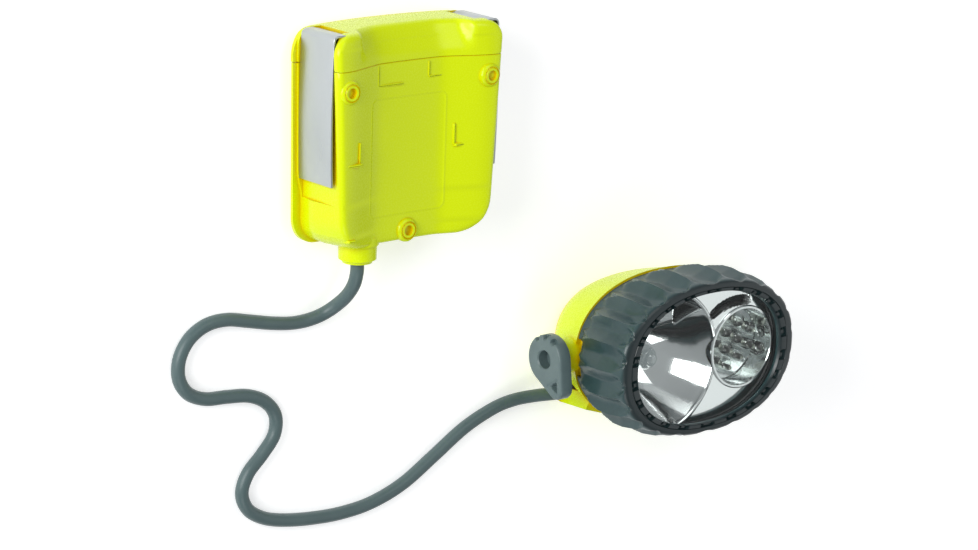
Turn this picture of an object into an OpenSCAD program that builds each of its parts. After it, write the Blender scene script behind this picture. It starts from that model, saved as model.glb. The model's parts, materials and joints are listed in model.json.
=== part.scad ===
/* [Layout] */
// Sideways distance from the battery case's centre to the lamp head's centre
head_dx = 111; // [100:1:150]
// Distance from the case's centre down to the head's centre
head_dy = -86; // [-120:1:-80]

/* [Cells] */
// Diameter of one round cell
cell_d = 14.5; // [13:0.1:18]
// Length of one round cell without its nub
cell_l = 49.3; // [42:0.1:60]
// Free space round each cell
cell_clear = 0.3; // [0.2:0.05:0.8]
// Room for a spring or plate contact at a cell's end
contact_room = 2.5; // [2:0.1:4]

/* [Battery case] */
// Wall of the case
wall = 2; // [1.6:0.1:3]
// Extra solid width on each side, where the clips' channels are cut
side_room = 4.1; // [3.6:0.1:6]
// How far the front shell's rim stands out past the tub
rim_out = 1.5; // [1:0.1:2.5]
// Height of the front shell's rim above the lowest point
rim_z = 6.2; // [5.5:0.1:7]
// Height of the horns above the middle of the hollow back
horn_h = 6.5; // [6:0.1:10]
// Wall between the cells and the hollow back, in its middle
back_w = 1.75; // [1.4:0.05:3]
// Radius of the hollow back, which follows a helmet
back_r = 59; // [54:1:80]
// Radius of the rounded front
front_r = 125; // [110:1:160]
// Depth of the lid from its parting line to its top
lid_h = 11.3; // [10:0.1:14]
// Gap between the lid and the tub
lid_gap = 0.15; // [0.1:0.05:0.3]
// Outside radius of the cord's gland tube
gland_r = 6.2; // [5:0.1:8]
// How far the gland tube stands out of the case
gland_out = 6.5; // [5:0.1:9]
// Place of the gland tube across the case
gland_x = -15; // [-18:0.5:-12]
// Height of the gland tube's middle
gland_z = 15; // [13:0.1:17]

/* [Lugs] */
// Outside radius of a screw lug
lug_r = 2.9; // [2.5:0.1:4]
// Radius of a lug's hole
lug_hole_r = 1.6; // [1.2:0.05:2]
// Depth of a lug's hole
lug_hole_l = 7; // [5:0.5:9]
// Distance of an upper lug's middle in from the case's side
lug_in = 5.8; // [5:0.1:7]
// Height of the upper lugs above the case's middle
lug_y = 16.8; // [14:0.1:19]

/* [Clips] */
// Width of a strap clip
clip_w = 17.4; // [15:0.1:17.6]
// Thickness of the clip's steel
clip_t = 0.8; // [0.6:0.05:1]
// Free length of the clip below its pin
clip_l = 46; // [38:0.5:48]
// Radius of the clip's pin
pin_r = 1; // [0.8:0.05:1.2]
// Running clearance between a pin or shaft and its hole
running = 0.06; // [0.03:0.01:0.1]

/* [Cord] */
// Diameter of the cord
cord_d = 4.5; // [3.5:0.1:5.5]

/* [Lamp head] */
// Whole width of the fluted bezel
bezel_w = 84; // [80:1:101]
// Whole height of the fluted bezel
bezel_h = 58; // [56:1:68]
// Height of the bezel's front face above the surface
front_z = 50; // [48:0.5:56]
// Height of the bezel's rear edge
rear_z = 24; // [23:0.5:26]
// Number of flutes round the bezel
flutes = 22; // [18:1:26]
// Depth of a flute
flute_d = 1.5; // [0.8:0.1:1.8]
// Width of the bezel's front ring
ring_w = 9.3; // [8.6:0.1:10]
// Wall between the bezel's widest outline and its bore
bezel_wall = 4.4; // [4:0.1:5]
// Thickness of the lens
lens_t = 1.6; // [1.2:0.1:2]
// Wall of the head's housing
housing_wall = 2.2; // [1.8:0.1:2.6]
// Clearance between pieces that slide into each other
slide_gap = 0.3; // [0.2:0.05:0.4]

/* [Light sources] */
// Distance of the halogen bulb from the head's middle
bulb_x = -18.5; // [-20:0.5:-17]
// Radius of the main reflector's rim
bowl_r = 24.5; // [22:0.5:26]
// Depth of the main reflector
bowl_depth = 22; // [19:0.5:23]
// Distance of the LED cup from the head's middle
led_x = 19; // [18:0.5:20]
// Outside radius of the LED cup
cup_r = 14.5; // [14.2:0.1:15]
// Diameter of one LED
led_d = 5; // [4:0.1:5.2]
// Distance between neighbouring LEDs
led_pitch = 6; // [5.6:0.1:6.2]

/* [Selector] */
// Radius of the selector lever's round end
hub_r = 8.7; // [7.5:0.1:9.5]
// Reach of the lever's tip from its axis
lever_l = 14.5; // [13:0.5:17]
// Thickness of the lever
lever_t = 5; // [5:0.1:6]
// Angle of the lever at rest, from straight down towards the front
lever_rest = 34; // [25:1:40]
// Radius of the lever's shaft
shaft_r = 3; // [2.5:0.1:3.2]
// Height of the lever's axis
axis_z = 20; // [19:0.1:21]
// Radius of the socket that a bracket's pivot enters
socket_r = 3.1; // [2.5:0.1:3.5]
// Depth of that socket
socket_l = 4; // [3:0.1:4]

/* [Hidden] */
$fn = 64;

// Battery case, measured from its own centre.
cells = 4;
pitch = cell_d + cell_clear;
bay_x = cells * pitch / 2 + cell_clear;
case_x = bay_x + side_room;
channel_x = bay_x + 1.3;
case_y0 = -35.5;
bay_y0 = case_y0 + wall + 2.7;
cell_y0 = bay_y0 + contact_room;
cell_y1 = cell_y0 + cell_l;
nub_l = 1.2;
part_y = cell_y1 + nub_l + 1.3;
lid_top = part_y + lid_h;
shell_x = case_x + rim_out;
arc_r = front_r - wall - cell_clear - cell_d / 2;
cell_xs = [for (i = [0 : cells - 1]) (i - (cells - 1) / 2) * pitch];
function cell_z(x) = front_r - sqrt(arc_r * arc_r - x * x);
cell_top = cell_z(cell_xs[0]) + cell_d / 2;
back_z = cell_top + cell_clear + back_w;
horn_z = back_z + horn_h;
lug_x = case_x - lug_in;
channel_z0 = rim_z + 0.8;
channel_z1 = channel_z0 + clip_w + 2 * 0.3;
clip_z0 = channel_z0 + 0.3;
pin_x = channel_x - 3.6;
pin_y = lid_top - 2.3;
barrel_r = pin_r + running + clip_t;
lug_bottom_y = case_y0 + 3.4;
plate_t = 0.5;
gland_y = case_y0 - gland_out;

// Lamp head, measured from its own centre.
head_a = bezel_w / 2;
head_b = bezel_h / 2;
bore_a = head_a - bezel_wall;
bore_b = head_b - bezel_wall + 0.6;
open_a = head_a - ring_w;
open_b = head_b - ring_w + 3.2;
neck_a = bore_a - slide_gap - 0.5;
neck_b = bore_b - slide_gap - 0.5;
neck_z = rear_z + 7;
lip_z = front_z - 2.2;
lens_z = lip_z - lens_t;
seal_z = lens_z - 1;
plate_z = seal_z - 0.2;
holder_r = 6.9;
bowl_z = plate_z - bowl_depth;
oval = 2.25;
boss_r = 6;
hub_in = head_a + 2.5;
boss_x = hub_in - 0.4;
hub_out = hub_in + lever_t;
seat_x = neck_a - housing_wall - 0.6;
cord_in = [13.6 - bore_a, -18, 7.5];

// Both stand on one surface, and the frame's origin is below the middle of the two.
case_at = [-(head_dx + hub_out - shell_x) / 2, -(lid_top + head_dy - head_b) / 2, 0];
head_at = case_at + [head_dx, head_dy, 0];

module at_case() { translate(case_at) children(); }
module at_head() { translate(head_at) children(); }
module along_y(y0, y1) { translate([0, y1, 0]) rotate([90, 0, 0]) linear_extrude(y1 - y0) children(); }
module rod_y(x, z, y0, y1, r, fine = 64) {
  translate([x, y1, z]) rotate([90, 0, 0]) cylinder(h = y1 - y0, r = r, $fn = fine);
}
module rod_x(x0, x1, y, z, r) { translate([x0, y, z]) rotate([0, 90, 0]) cylinder(h = x1 - x0, r = r); }
module span(lo, hi) { translate(lo) cube(hi - lo); }

// Case outline: straight sides that draw in towards the bottom, with round corners.
function corner(x, y, r, from, steps = 7) =
  [for (i = [0 : steps]) let (t = from + 90 * i / steps) [x + r * cos(t), y + r * sin(t)]];
function outline(top, low, r_top, r_low, y0, y1) = concat(
  corner(top - r_top, y1 - r_top, r_top, 0), corner(-top + r_top, y1 - r_top, r_top, 90),
  corner(-low + r_low, y0 + r_low, r_low, 180), corner(low - r_low, y0 + r_low, r_low, 270));

// Section across the case: the rounded front below, the hollow back above, each set in by d.
function front_arc(x, d) = front_r - sqrt(pow(front_r - d, 2) - x * x);
function back_arc(x, d) = back_z + back_r - sqrt(pow(back_r + d, 2) - x * x);
function section(half, d, top) = let (n = 20) concat(
  [for (i = [0 : n]) let (x = half * (2 * i / n - 1)) [x, front_arc(x, d)]],
  [for (i = [0 : n]) let (x = half * (1 - 2 * i / n)) [x, min(top, back_arc(x, d))]]);

// The case's outer form is two blocks: a low wide one for the rim and a drawn-in one above it.
module rim_block() {
  linear_extrude(rim_z) polygon(outline(shell_x, shell_x - 1, 9, 9, case_y0 - 0.5, lid_top));
}
module upper_block() {
  hull() {
    translate([0, 0, rim_z]) linear_extrude(0.01)
      polygon(outline(case_x, case_x - 1.5, 8, 8, case_y0, lid_top));
    translate([0, 0, horn_z - 3]) linear_extrude(0.01)
      polygon(outline(case_x - 1.2, case_x - 4, 9, 12, case_y0 + 1, lid_top - 1));
    translate([0, 0, horn_z]) linear_extrude(0.01)
      polygon(outline(case_x - 3.2, case_x - 6, 9, 12, case_y0 + 3, lid_top - 3));
  }
}
module front_round() { rod_y(0, front_r, case_y0 - 9, lid_top + 9, front_r, 256); }
module back_hollow() { rod_y(0, back_z + back_r, case_y0 - 9, lid_top + 9, back_r, 256); }

module channel(side) {
  x = side * (channel_x + 10);
  translate([x, (lid_top + 9 - 20) / 2, (channel_z0 + channel_z1) / 2])
    cube([20, lid_top + 9 + 20, channel_z1 - channel_z0], center = true);
}

module bay(y0, y1) { along_y(y0, y1) polygon(section(bay_x, wall, cell_top + cell_clear)); }

module lug(x, y, z, h) { translate([x, y, z - h]) cylinder(h = h, r = lug_r); }
module lug_hole(x, y, z) { translate([x, y, z - lug_hole_l]) cylinder(h = lug_hole_l + 1, r = lug_hole_r); }

module front_shell() {
  color("yellow") at_case() difference() {
    intersection() {
      rim_block();
      front_round();
      span([-shell_x - 1, case_y0 - 5, -1], [shell_x + 1, part_y, rim_z + 1]);
    }
    bay(bay_y0, part_y + 1);
  }
}

module rib(x, y, z, size) { translate([x, y, z]) cube(size, center = true); }

module case_tub() {
  upper_z = horn_z + 0.8;
  low_z = back_z + 1.6;
  color("yellow") at_case() difference() {
    union() {
      difference() {
        intersection() {
          upper_block();
          span([-shell_x - 1, case_y0 - 5, rim_z - 1], [shell_x + 1, part_y, horn_z + 5]);
        }
        back_hollow();
      }
      rod_y(gland_x, gland_z, gland_y, case_y0 + 4, gland_r);
      lug(-lug_x, lug_y, upper_z, 9);
      lug(lug_x, lug_y, upper_z, 9);
      lug(0, lug_bottom_y, low_z, 9);
      rib(-13, part_y - 3.8, back_z + 1, [0.9, 6.4, 2]);
      rib(-13, part_y - 7.2, back_z + 1, [8.5, 0.9, 2]);
      rib(7.5, part_y - 3.4, back_z + 0.5, [0.9, 5, 1.6]);
      rib(10.2, part_y - 6, back_z + 0.8, [5.4, 0.9, 1.4]);
      rib(-24, -3.5, back_z + 4.6, [0.9, 7, 3]);
      rib(-26, -7, back_z + 5.2, [4.9, 0.9, 3]);
      rib(17, -2, back_z + 2.3, [0.9, 7, 2]);
      rib(19.3, -5.2, back_z + 3, [4.6, 0.9, 2]);
    }
    bay(bay_y0, part_y + 1);
    channel(-1);
    channel(1);
    rod_y(gland_x, gland_z, gland_y + 1.5, bay_y0 + 1, cord_d / 2 + 1.9);
    rod_y(gland_x, gland_z, gland_y - 1, bay_y0, cord_d / 2 + 0.3);
    lug_hole(-lug_x, lug_y, upper_z);
    lug_hole(lug_x, lug_y, upper_z);
    lug_hole(0, lug_bottom_y, low_z);
  }
}

module case_lid() {
  seal_y = part_y + lid_gap;
  color("yellow") at_case() difference() {
    intersection() {
      union() {
        rim_block();
        upper_block();
      }
      front_round();
      span([-shell_x - 1, part_y + lid_gap, -1], [shell_x + 1, lid_top + 5, horn_z + 5]);
    }
    back_hollow();
    bay(part_y - 1, part_y + 4.5);
    along_y(seal_y - 1, seal_y + 1) difference() {
      polygon(section(bay_x + 0.9, 0.7, cell_top + 1.3));
      polygon(section(bay_x + 0.3, 1.6, cell_top + 0.6));
    }
    for (side = [-1, 1]) {
      channel(side);
      clip_slot(side);
      translate([side * pin_x, pin_y, front_arc(pin_x, 0) - 1])
        cylinder(h = horn_z + 2, r = pin_r);
    }
  }
}

// Slot in the lid's top corner, where the clip's barrel turns on its pin.
module clip_slot(side) {
  lo = pin_x - barrel_r - 0.5;
  translate([side * (lo + 20), pin_y + 8 - barrel_r - 0.4, (channel_z0 + channel_z1) / 2])
    cube([40, 16, channel_z1 - channel_z0], center = true);
}

module lid_seal() {
  seal_y = part_y + lid_gap;
  color("dimgray") at_case() along_y(seal_y, seal_y + 1) difference() {
    polygon(section(bay_x + 0.9, 0.7, cell_top + 1.3));
    polygon(section(bay_x + 0.3, 1.6, cell_top + 0.6));
  }
}

module contact_carrier() {
  color("dimgray") at_case()
    along_y(part_y - 0.8, part_y + 1.6) polygon(section(bay_x - 0.4, wall + 0.4, cell_top - 0.3));
}

module lid_contacts() {
  color("gold") at_case() for (pair = [0, 2]) {
    x0 = cell_xs[pair];
    x1 = cell_xs[pair + 1];
    z = (cell_z(x0) + cell_z(x1)) / 2;
    span([x0 - 4, part_y - 0.8 - plate_t, z - 3], [x1 + 4, part_y - 0.8, z + 3]);
  }
}

module end_contacts() {
  color("gold") at_case() for (group = [[0, 0], [1, 2], [3, 3]]) {
    x0 = cell_xs[group[0]];
    x1 = cell_xs[group[1]];
    z = (cell_z(x0) + cell_z(x1)) / 2;
    span([x0 - 4, bay_y0, z - 3.5], [x1 + 4, bay_y0 + plate_t, z + 3.5]);
  }
}

module contact_springs() {
  coils = 3;
  wire = 0.35;
  rise = contact_room - plate_t - 2 * wire;
  color("silver") at_case() for (x = cell_xs) for (i = [0 : coils - 1])
    translate([x, bay_y0 + plate_t + wire + rise * i / (coils - 1), cell_z(x)])
      rotate([90, 0, 0]) rotate_extrude() translate([3.6 - 0.6 * i, 0]) circle(wire, $fn = 16);
}

module cell(i) {
  x = cell_xs[i];
  color("white") at_case() {
    rod_y(x, cell_z(x), cell_y0, cell_y1, cell_d / 2);
    rod_y(x, cell_z(x), cell_y1, cell_y1 + nub_l, 2.6);
  }
}
module cell_1() { cell(0); }
module cell_2() { cell(1); }
module cell_3() { cell(2); }
module cell_4() { cell(3); }

// Strap clip: a barrel round the pin, a short top leaf over the lid's corner, a long side leaf.
module clip(side) {
  out_x = channel_x + 2.3;
  top_y = pin_y + barrel_r;
  color("silver") at_case() mirror([side > 0 ? 1 : 0, 0, 0]) difference() {
    translate([0, 0, clip_z0]) linear_extrude(clip_w) {
      translate([-pin_x, pin_y]) circle(barrel_r);
      polygon([[-pin_x, top_y - clip_t], [-pin_x, top_y], [-out_x + 3, top_y],
        [-out_x, top_y - 2.2], [-out_x - 0.5, pin_y - clip_l / 2], [-out_x, pin_y - clip_l],
        [-out_x + clip_t, pin_y - clip_l], [-out_x - 0.5 + clip_t, pin_y - clip_l / 2],
        [-out_x + clip_t, top_y - 2.2 - clip_t / 2], [-out_x + 3 - clip_t / 2, top_y - clip_t]]);
    }
    translate([-pin_x, pin_y, 0]) cylinder(h = horn_z, r = pin_r + running);
  }
}
module clip_left() { clip(-1); }
module clip_right() { clip(1); }

module clip_pin(side) {
  color("dimgray") at_case() translate([side * pin_x, pin_y, channel_z0 - 1.5])
    cylinder(h = channel_z1 - channel_z0 + 2.5, r = pin_r);
}
module clip_pin_left() { clip_pin(-1); }
module clip_pin_right() { clip_pin(1); }

module case_grommet() {
  color("dimgray") at_case() difference() {
    rod_y(gland_x, gland_z, gland_y + 1.5, bay_y0 - 0.5, cord_d / 2 + 1.9);
    rod_y(gland_x, gland_z, gland_y, bay_y0, cord_d / 2 + 0.1);
  }
}

// The cord's route from the case to the head, by eye, measured from the case's centre.
route = [
  [-15, -39, 15], [-15, -44.5, 15], [-15, -49.9, 13.5], [-15.3, -54.4, 10.2], [-16.6, -58.3, 6.4],
  [-19.8, -61.4, 3.6], [-24.9, -62.9, 2.5], [-31.6, -63, 2.4], [-39.6, -61.8, 2.4], [-48.4, -59.8, 2.4],
  [-57.1, -58, 2.4], [-64.9, -58.6, 2.4], [-71.2, -62.1, 2.4], [-74.9, -67.9, 2.4],
  [-75.2, -74.5, 2.4], [-71.7, -80, 2.4], [-65.1, -83, 2.4], [-56.7, -83.7, 2.4],
  [-48.2, -84.8, 2.4], [-41.4, -88, 2.4], [-37.4, -93.3, 2.4], [-37.8, -99.7, 2.4],
  [-42.4, -105.5, 2.4], [-48, -111.1, 2.4], [-50.3, -117.4, 2.4], [-47.9, -123.3, 2.4],
  [-41.8, -127.4, 2.4], [-33.6, -129.8, 2.4], [-22, -131.4, 2.4], [-9.5, -131.9, 2.4],
  [3, -130.6, 2.4], [16, -126.4, 2.4], [29.1, -118.9, 2.4], [42, -111.3, 2.4],
  [54.4, -106.6, 2.4], [63.2, -104.8, 3], [71, -104.1, 5], [78, -104, 7], [83.5, -104, 7.5],
  [90, -104, 7.5]
];

function spline(p0, p1, p2, p3, t) = 0.5 * ((2 * p1) + (p2 - p0) * t
  + (2 * p0 - 5 * p1 + 4 * p2 - p3) * t * t + (3 * p1 - p0 - 3 * p2 + p3) * t * t * t);
function clampi(i, n) = max(0, min(n - 1, i));
function smooth(path, steps) = let (n = len(path)) concat(
  [for (i = [0 : n - 2]) for (k = [0 : steps - 1]) spline(path[clampi(i - 1, n)], path[i],
    path[i + 1], path[clampi(i + 2, n)], k / steps)], [path[n - 1]]);
function unit(v) = v / norm(v);
function direction(path, i) = unit(path[clampi(i + 1, len(path))] - path[clampi(i - 1, len(path))]);
function side_of(d) = unit(cross(d, [0, 0, 1]));
function cord_ring(path, i, r, n) = let (d = direction(path, i), s = side_of(d), u = cross(d, s))
  [for (k = [0 : n - 1]) path[i] + r * cos(360 * k / n) * s + r * sin(360 * k / n) * u];

// Closed skin over a stack of rings that all have the same number of points.
module skin(rings) {
  n = len(rings[0]);
  m = len(rings);
  walls = [for (i = [0 : m - 2]) for (k = [0 : n - 1]) let (a = i * n + k, b = i * n + (k + 1) % n)
    each [[a, a + n, b], [b, a + n, b + n]]];
  polyhedron([for (ring = rings) each ring], concat(walls, [[for (k = [0 : n - 1]) k]],
    [[for (k = [0 : n - 1]) m * n - 1 - k]]));
}

module tube(path, r, n) { skin([for (i = [0 : len(path) - 1]) cord_ring(path, i, r, n)]); }

// The laid route: its two ends follow the gland and the head's entry, and the rest follows in part.
cord_from = [gland_x, case_y0 - 3.5, gland_z];
cord_to = [head_dx, head_dy, 0] + cord_in + [3, 0, 0];
last = len(route) - 1;
laid = [for (i = [0 : last]) let (s = i / last, share = s * s * (3 - 2 * s))
  route[i] + (1 - share) * (cord_from - route[0]) + share * (cord_to - route[last])];

module cord() { color("dimgray") at_case() tube(smooth(laid, 2), cord_d / 2, 8); }

// Oval solids of the head: rings of one soft oval, each [half width, half height, z].
function bent(v) = sign(v) * pow(abs(v), 2 / oval);
function oval_ring(a, b, z, n) = [for (i = [0 : n - 1]) let (t = 360 * (i + 0.5) / n)
  [a * bent(cos(t)), b * bent(sin(t)), z]];
function flat(a, b, n = 56) = [for (p = oval_ring(a, b, 0, n)) [p[0], p[1]]];

// Rounded bowl of the housing, set in by d, from its floor at z0 up to the bezel's rear edge.
bowl_rings = [[28.5, 19, 0], [32, 21.6, 0.09], [35, 23.8, 0.3], [37, 25.2, 0.55], [38.7, 26.2, 0.8],
  [39.3, 26.6, 1]];
module bowl_shape(d, z0) {
  grow_a = bore_a - bowl_rings[5][0] + 1.6;
  grow_b = bore_b - bowl_rings[5][1] + 1.3;
  skin([for (r = bowl_rings)
    oval_ring(r[0] + grow_a - d, r[1] + grow_b - d, z0 + r[2] * (rear_z - slide_gap - z0), 40)]);
}

module head_housing() {
  color("yellow") at_head() difference() {
    union() {
      bowl_shape(0, 0);
      translate([0, 0, rear_z - 1]) linear_extrude(neck_z - rear_z + 1) polygon(flat(neck_a, neck_b));
      rod_x(-boss_x, -seat_x, 0, axis_z, boss_r);
      rod_x(seat_x, boss_x, 0, axis_z, boss_r);
      rod_x(cord_in[0] - 3, cord_in[0] + 6, cord_in[1], cord_in[2], cord_d / 2 + 2.2);
    }
    difference() {
      union() {
        bowl_shape(housing_wall, housing_wall);
        translate([0, 0, rear_z - 1.5]) linear_extrude(neck_z - rear_z + 3)
          polygon(flat(neck_a - housing_wall, neck_b - housing_wall));
      }
      rod_x(-boss_x, -seat_x, 0, axis_z, boss_r);
      rod_x(seat_x, boss_x, 0, axis_z, boss_r);
    }
    rod_x(-boss_x - 1, -seat_x + 1, 0, axis_z, shaft_r + running);
    rod_x(-boss_x - 1, -boss_x + 1.7, 0, axis_z, shaft_r + 1.8);
    rod_x(seat_x - 1, boss_x + 1, 0, axis_z, shaft_r);
    rod_x(cord_in[0] - 9, cord_in[0] + 9, cord_in[1], cord_in[2], cord_d / 2 + 1.2);
  }
}

module housing_seal() {
  color("dimgray") at_head() translate([0, 0, rear_z + 3]) linear_extrude(1.6) difference() {
    polygon(flat(neck_a + 0.5, neck_b + 0.5));
    polygon(flat(neck_a, neck_b));
  }
}

// Bezel outline with its flutes: the oval drawn in between one ridge and the next.
function fluted(a, b, z, depth) = let (n = flutes * 4) [for (i = [0 : n - 1])
  let (t = 360 * i / n, cut = depth * (1 - pow(abs(1 - 2 * (i % 4) / 4), 2)))
  [(a - cut) * bent(cos(t)), (b - cut) * bent(sin(t)), z]];

module bezel() {
  steps = [[-2.25, rear_z - 1, 0.6], [0, rear_z + 4, 1], [0, rear_z + 14, 1], [-0.8, front_z - 6, 0.9],
    [-2.2, front_z - 2.5, 0.3], [-3.6, front_z, 0]];
  color("darkslategray") at_head() difference() {
    skin([for (s = steps) fluted(head_a + s[0], head_b + s[0], s[1], flute_d * s[2])]);
    translate([0, 0, rear_z - 1]) linear_extrude(lip_z - rear_z + 1) polygon(flat(bore_a, bore_b));
    translate([0, 0, rear_z]) linear_extrude(front_z) polygon(flat(open_a, open_b));
    span([-head_a - 5, -head_b - 5, 0], [head_a + 5, head_b + 5, rear_z]);
    span([-head_a - 5, -boss_r - 0.4, 0], [head_a + 5, boss_r + 0.4, axis_z + boss_r + 0.4]);
    for (i = [0 : flutes - 1]) let (t = 360 * (i + 0.5) / flutes)
      translate([(open_a + 2.9) * bent(cos(t)), (open_b + 2.6) * bent(sin(t)), front_z])
        rotate([0, 0, atan2(sin(t) / head_b, cos(t) / head_a)]) cube([2.2, 3.2, 2.4], center = true);
  }
}

module lens() {
  color("white", 0.4) at_head() translate([0, 0, lens_z]) linear_extrude(lens_t)
    polygon(flat(bore_a - 0.3, bore_b - 0.3));
}

module lens_seal() {
  color("dimgray") at_head() translate([0, 0, seal_z]) linear_extrude(lens_z - seal_z) difference() {
    polygon(flat(bore_a - 0.3, bore_b - 0.3));
    polygon(flat(open_a + 1.6, open_b + 1));
  }
}

// Half profile of the paraboloid: height over the vertex grows as the square of the radius.
function dish(d, r0) = [for (i = [0 : 12]) let (r = r0 + (bowl_r - r0) * i / 12)
  [r, bowl_depth * pow(r / bowl_r, 2) - d]];

module reflector() {
  sheet = 1.1;
  hole = 6.2;
  color("silver") at_head() {
    difference() {
      union() {
        translate([0, 0, plate_z - sheet]) linear_extrude(sheet) polygon(flat(neck_a, neck_b));
        translate([0, 0, neck_z]) linear_extrude(plate_z - neck_z) difference() {
          polygon(flat(neck_a, neck_b));
          polygon(flat(neck_a - sheet, neck_b - sheet));
        }
        intersection() {
          translate([bulb_x, 0, bowl_z]) rotate_extrude()
            polygon(concat(dish(0, hole), [for (i = [12 : -1 : 0]) dish(sheet, hole)[i]]));
          translate([0, 0, bowl_z - 5]) linear_extrude(bowl_depth + 5) polygon(flat(neck_a, neck_b));
        }
      }
      intersection() {
        translate([bulb_x, 0, bowl_z]) rotate_extrude()
          polygon(concat([[0, -9]], [[hole, -9]], dish(0, hole), [[bowl_r, bowl_depth + 5]],
            [[0, bowl_depth + 5]]));
        translate([0, 0, bowl_z - 12]) linear_extrude(bowl_depth + 20)
          polygon(flat(neck_a - sheet, neck_b - sheet));
      }
      translate([led_x, 0, plate_z - 17]) cylinder(h = 20, r = cup_r + 0.1);
    }
  }
}

module bulb_glass() {
  color("white", 0.5) at_head() translate([bulb_x, 0, bowl_z + 2]) {
    cylinder(h = 10, r = 4.4);
    translate([0, 0, 10]) intersection() {
      sphere(4.4);
      cylinder(h = 9, r = 9);
    }
    translate([0, 0, 13]) cylinder(h = 3.2, r = 2.4);
  }
}

module bulb_base() {
  color("silver") at_head() translate([bulb_x, 0, bowl_z]) {
    translate([0, 0, -9]) cylinder(h = 11, r = 4.6);
    translate([0, 0, -2.4]) cylinder(h = 1.2, r = 5.8);
  }
}

module bulb_holder() {
  color("dimgray") at_head() translate([bulb_x, 0, 0]) difference() {
    translate([0, 0, housing_wall]) cylinder(h = bowl_z - 2.4 - housing_wall, r = holder_r);
    translate([0, 0, bowl_z - 9.2]) cylinder(h = 12, r = 4.6 + slide_gap / 2);
  }
}

cup_depth = 9;
module led_cup() {
  color("silver") at_head() translate([led_x, 0, plate_z]) difference() {
    union() {
      translate([0, 0, -cup_depth]) cylinder(h = cup_depth + 0.4, r = cup_r);
    }
    translate([0, 0, -cup_depth + 1]) cylinder(h = cup_depth + 1, r = cup_r - 1);
    led_places(-cup_depth - 1) cylinder(h = 3, r = led_d / 2 + 0.1);
  }
}

module led_places(z) {
  rows = [2, 3, 4, 3, 2];
  for (row = [0 : 4]) for (i = [0 : rows[row] - 1])
    translate([(row - 2) * led_pitch * 0.88, (i - (rows[row] - 1) / 2) * led_pitch, z]) children();
}

module led_board() {
  color("darkgreen") at_head() translate([led_x, 0, plate_z - cup_depth - 1.6]) cylinder(h = 1.5, r = cup_r - 0.5);
}

module leds() {
  color("white", 0.6) at_head() translate([led_x, 0, plate_z]) led_places(-cup_depth - 0.1) {
    cylinder(h = 6.2, r = led_d / 2);
    translate([0, 0, 6.2]) intersection() {
      sphere(led_d / 2, $fn = 24);
      cylinder(h = led_d, r = led_d);
    }
  }
}

// Flat brass strips that carry the current from the switch to each light source.
module contact_strips() {
  color("gold") at_head() {
    span([bulb_x + holder_r, -2, housing_wall], [led_x + 3, 2, housing_wall + 0.5]);
    span([led_x + 2.5, -2, housing_wall + 0.5], [led_x + 3, 2, plate_z - cup_depth - 1.6]);
  }
}

module lever_place() { at_head() translate([-hub_out, 0, axis_z]) rotate([0, 90, 0]) children(); }

// Selector: local +Y is the head's +Y, local +X is down towards the back.
module selector_lever() {
  tip_r = 3.6;
  reach = lever_l - tip_r;
  color("slategray") lever_place() difference() {
    union() {
      cylinder(h = lever_t, r = hub_r);
      hull() {
        cylinder(h = lever_t, r = hub_r - 0.6, $fn = 32);
        rotate([0, 0, -90 - lever_rest]) translate([reach, 0, 0])
          cylinder(h = lever_t, r = tip_r, $fn = 32);
      }
      translate([0, 0, lever_t]) cylinder(h = hub_out - seat_x + 3.6 - lever_t, r = shaft_r);
    }
    translate([0, 0, -1]) cylinder(h = socket_l + 1, r = socket_r);
    rotate([0, 0, -90 - lever_rest]) translate([reach - 0.5, 0, -1])
      cylinder(h = 3.4, r = 1.9, $fn = 3);
    for (turn = [60, 90, 120])
      rotate([0, 0, turn]) translate([hub_r, 0, 0]) cube([2.4, 2.2, 4], center = true);
    translate([0, 0, hub_out - seat_x + 0.5]) difference() {
      cylinder(h = 0.8, r = shaft_r + 1);
      translate([0, 0, -1]) cylinder(h = 3, r = shaft_r - 0.6);
    }
  }
}

module lever_seal() {
  color("dimgray") lever_place() translate([0, 0, lever_t + 0.4 + 0.85])
    rotate_extrude() translate([shaft_r + 0.95, 0]) circle(0.8, $fn = 24);
}

module lever_clip() {
  color("silver") lever_place() translate([0, 0, hub_out - seat_x + 0.55]) difference() {
    cylinder(h = 0.7, r = shaft_r + 1.8);
    translate([0, 0, -1]) cylinder(h = 3, r = shaft_r - 0.55);
    translate([0, -1.6, -1]) cube([9, 3.2, 3]);
  }
}

module switch_rotor() {
  color("dimgray") lever_place() translate([0, 0, hub_out - seat_x + 1.6]) difference() {
    cylinder(h = 2, r = 6.2);
    translate([0, 0, -1]) cylinder(h = 4, r = shaft_r + 0.02);
  }
}

// Contact block of the switch, held by an arm on the bulb holder.
module switch_base() {
  x0 = -seat_x + 4.3;
  color("dimgray") at_head() {
    span([x0, -7, axis_z - 9], [x0 + 1.3, 7, bowl_z - 1.2]);
    span([x0 + 1.3, -2.5, axis_z - 9], [bulb_x - holder_r + 0.8, 2.5, axis_z - 5]);
  }
}

module switch_contacts() {
  x0 = -seat_x + 4.3;
  color("gold") at_head() for (y = [-4.5, 0, 4.5])
    span([x0 - 0.4, y - 1, axis_z - 5.5], [x0, y + 1, axis_z - 1.5]);
}

module pivot_cap() {
  color("slategray") at_head() difference() {
    union() {
      rod_x(hub_in, hub_out, 0, axis_z, hub_r - 0.7);
      rod_x(seat_x, hub_in, 0, axis_z, shaft_r);
    }
    rod_x(hub_out - socket_l, hub_out + 1, 0, axis_z, socket_r);
  }
}

module head_grommet() {
  color("dimgray") at_head() difference() {
    rod_x(cord_in[0] - 3, cord_in[0] + 7, cord_in[1], cord_in[2], cord_d / 2 + 1.2);
    rod_x(cord_in[0] - 4, cord_in[0] + 8, cord_in[1], cord_in[2], cord_d / 2 + 0.1);
  }
}

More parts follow.
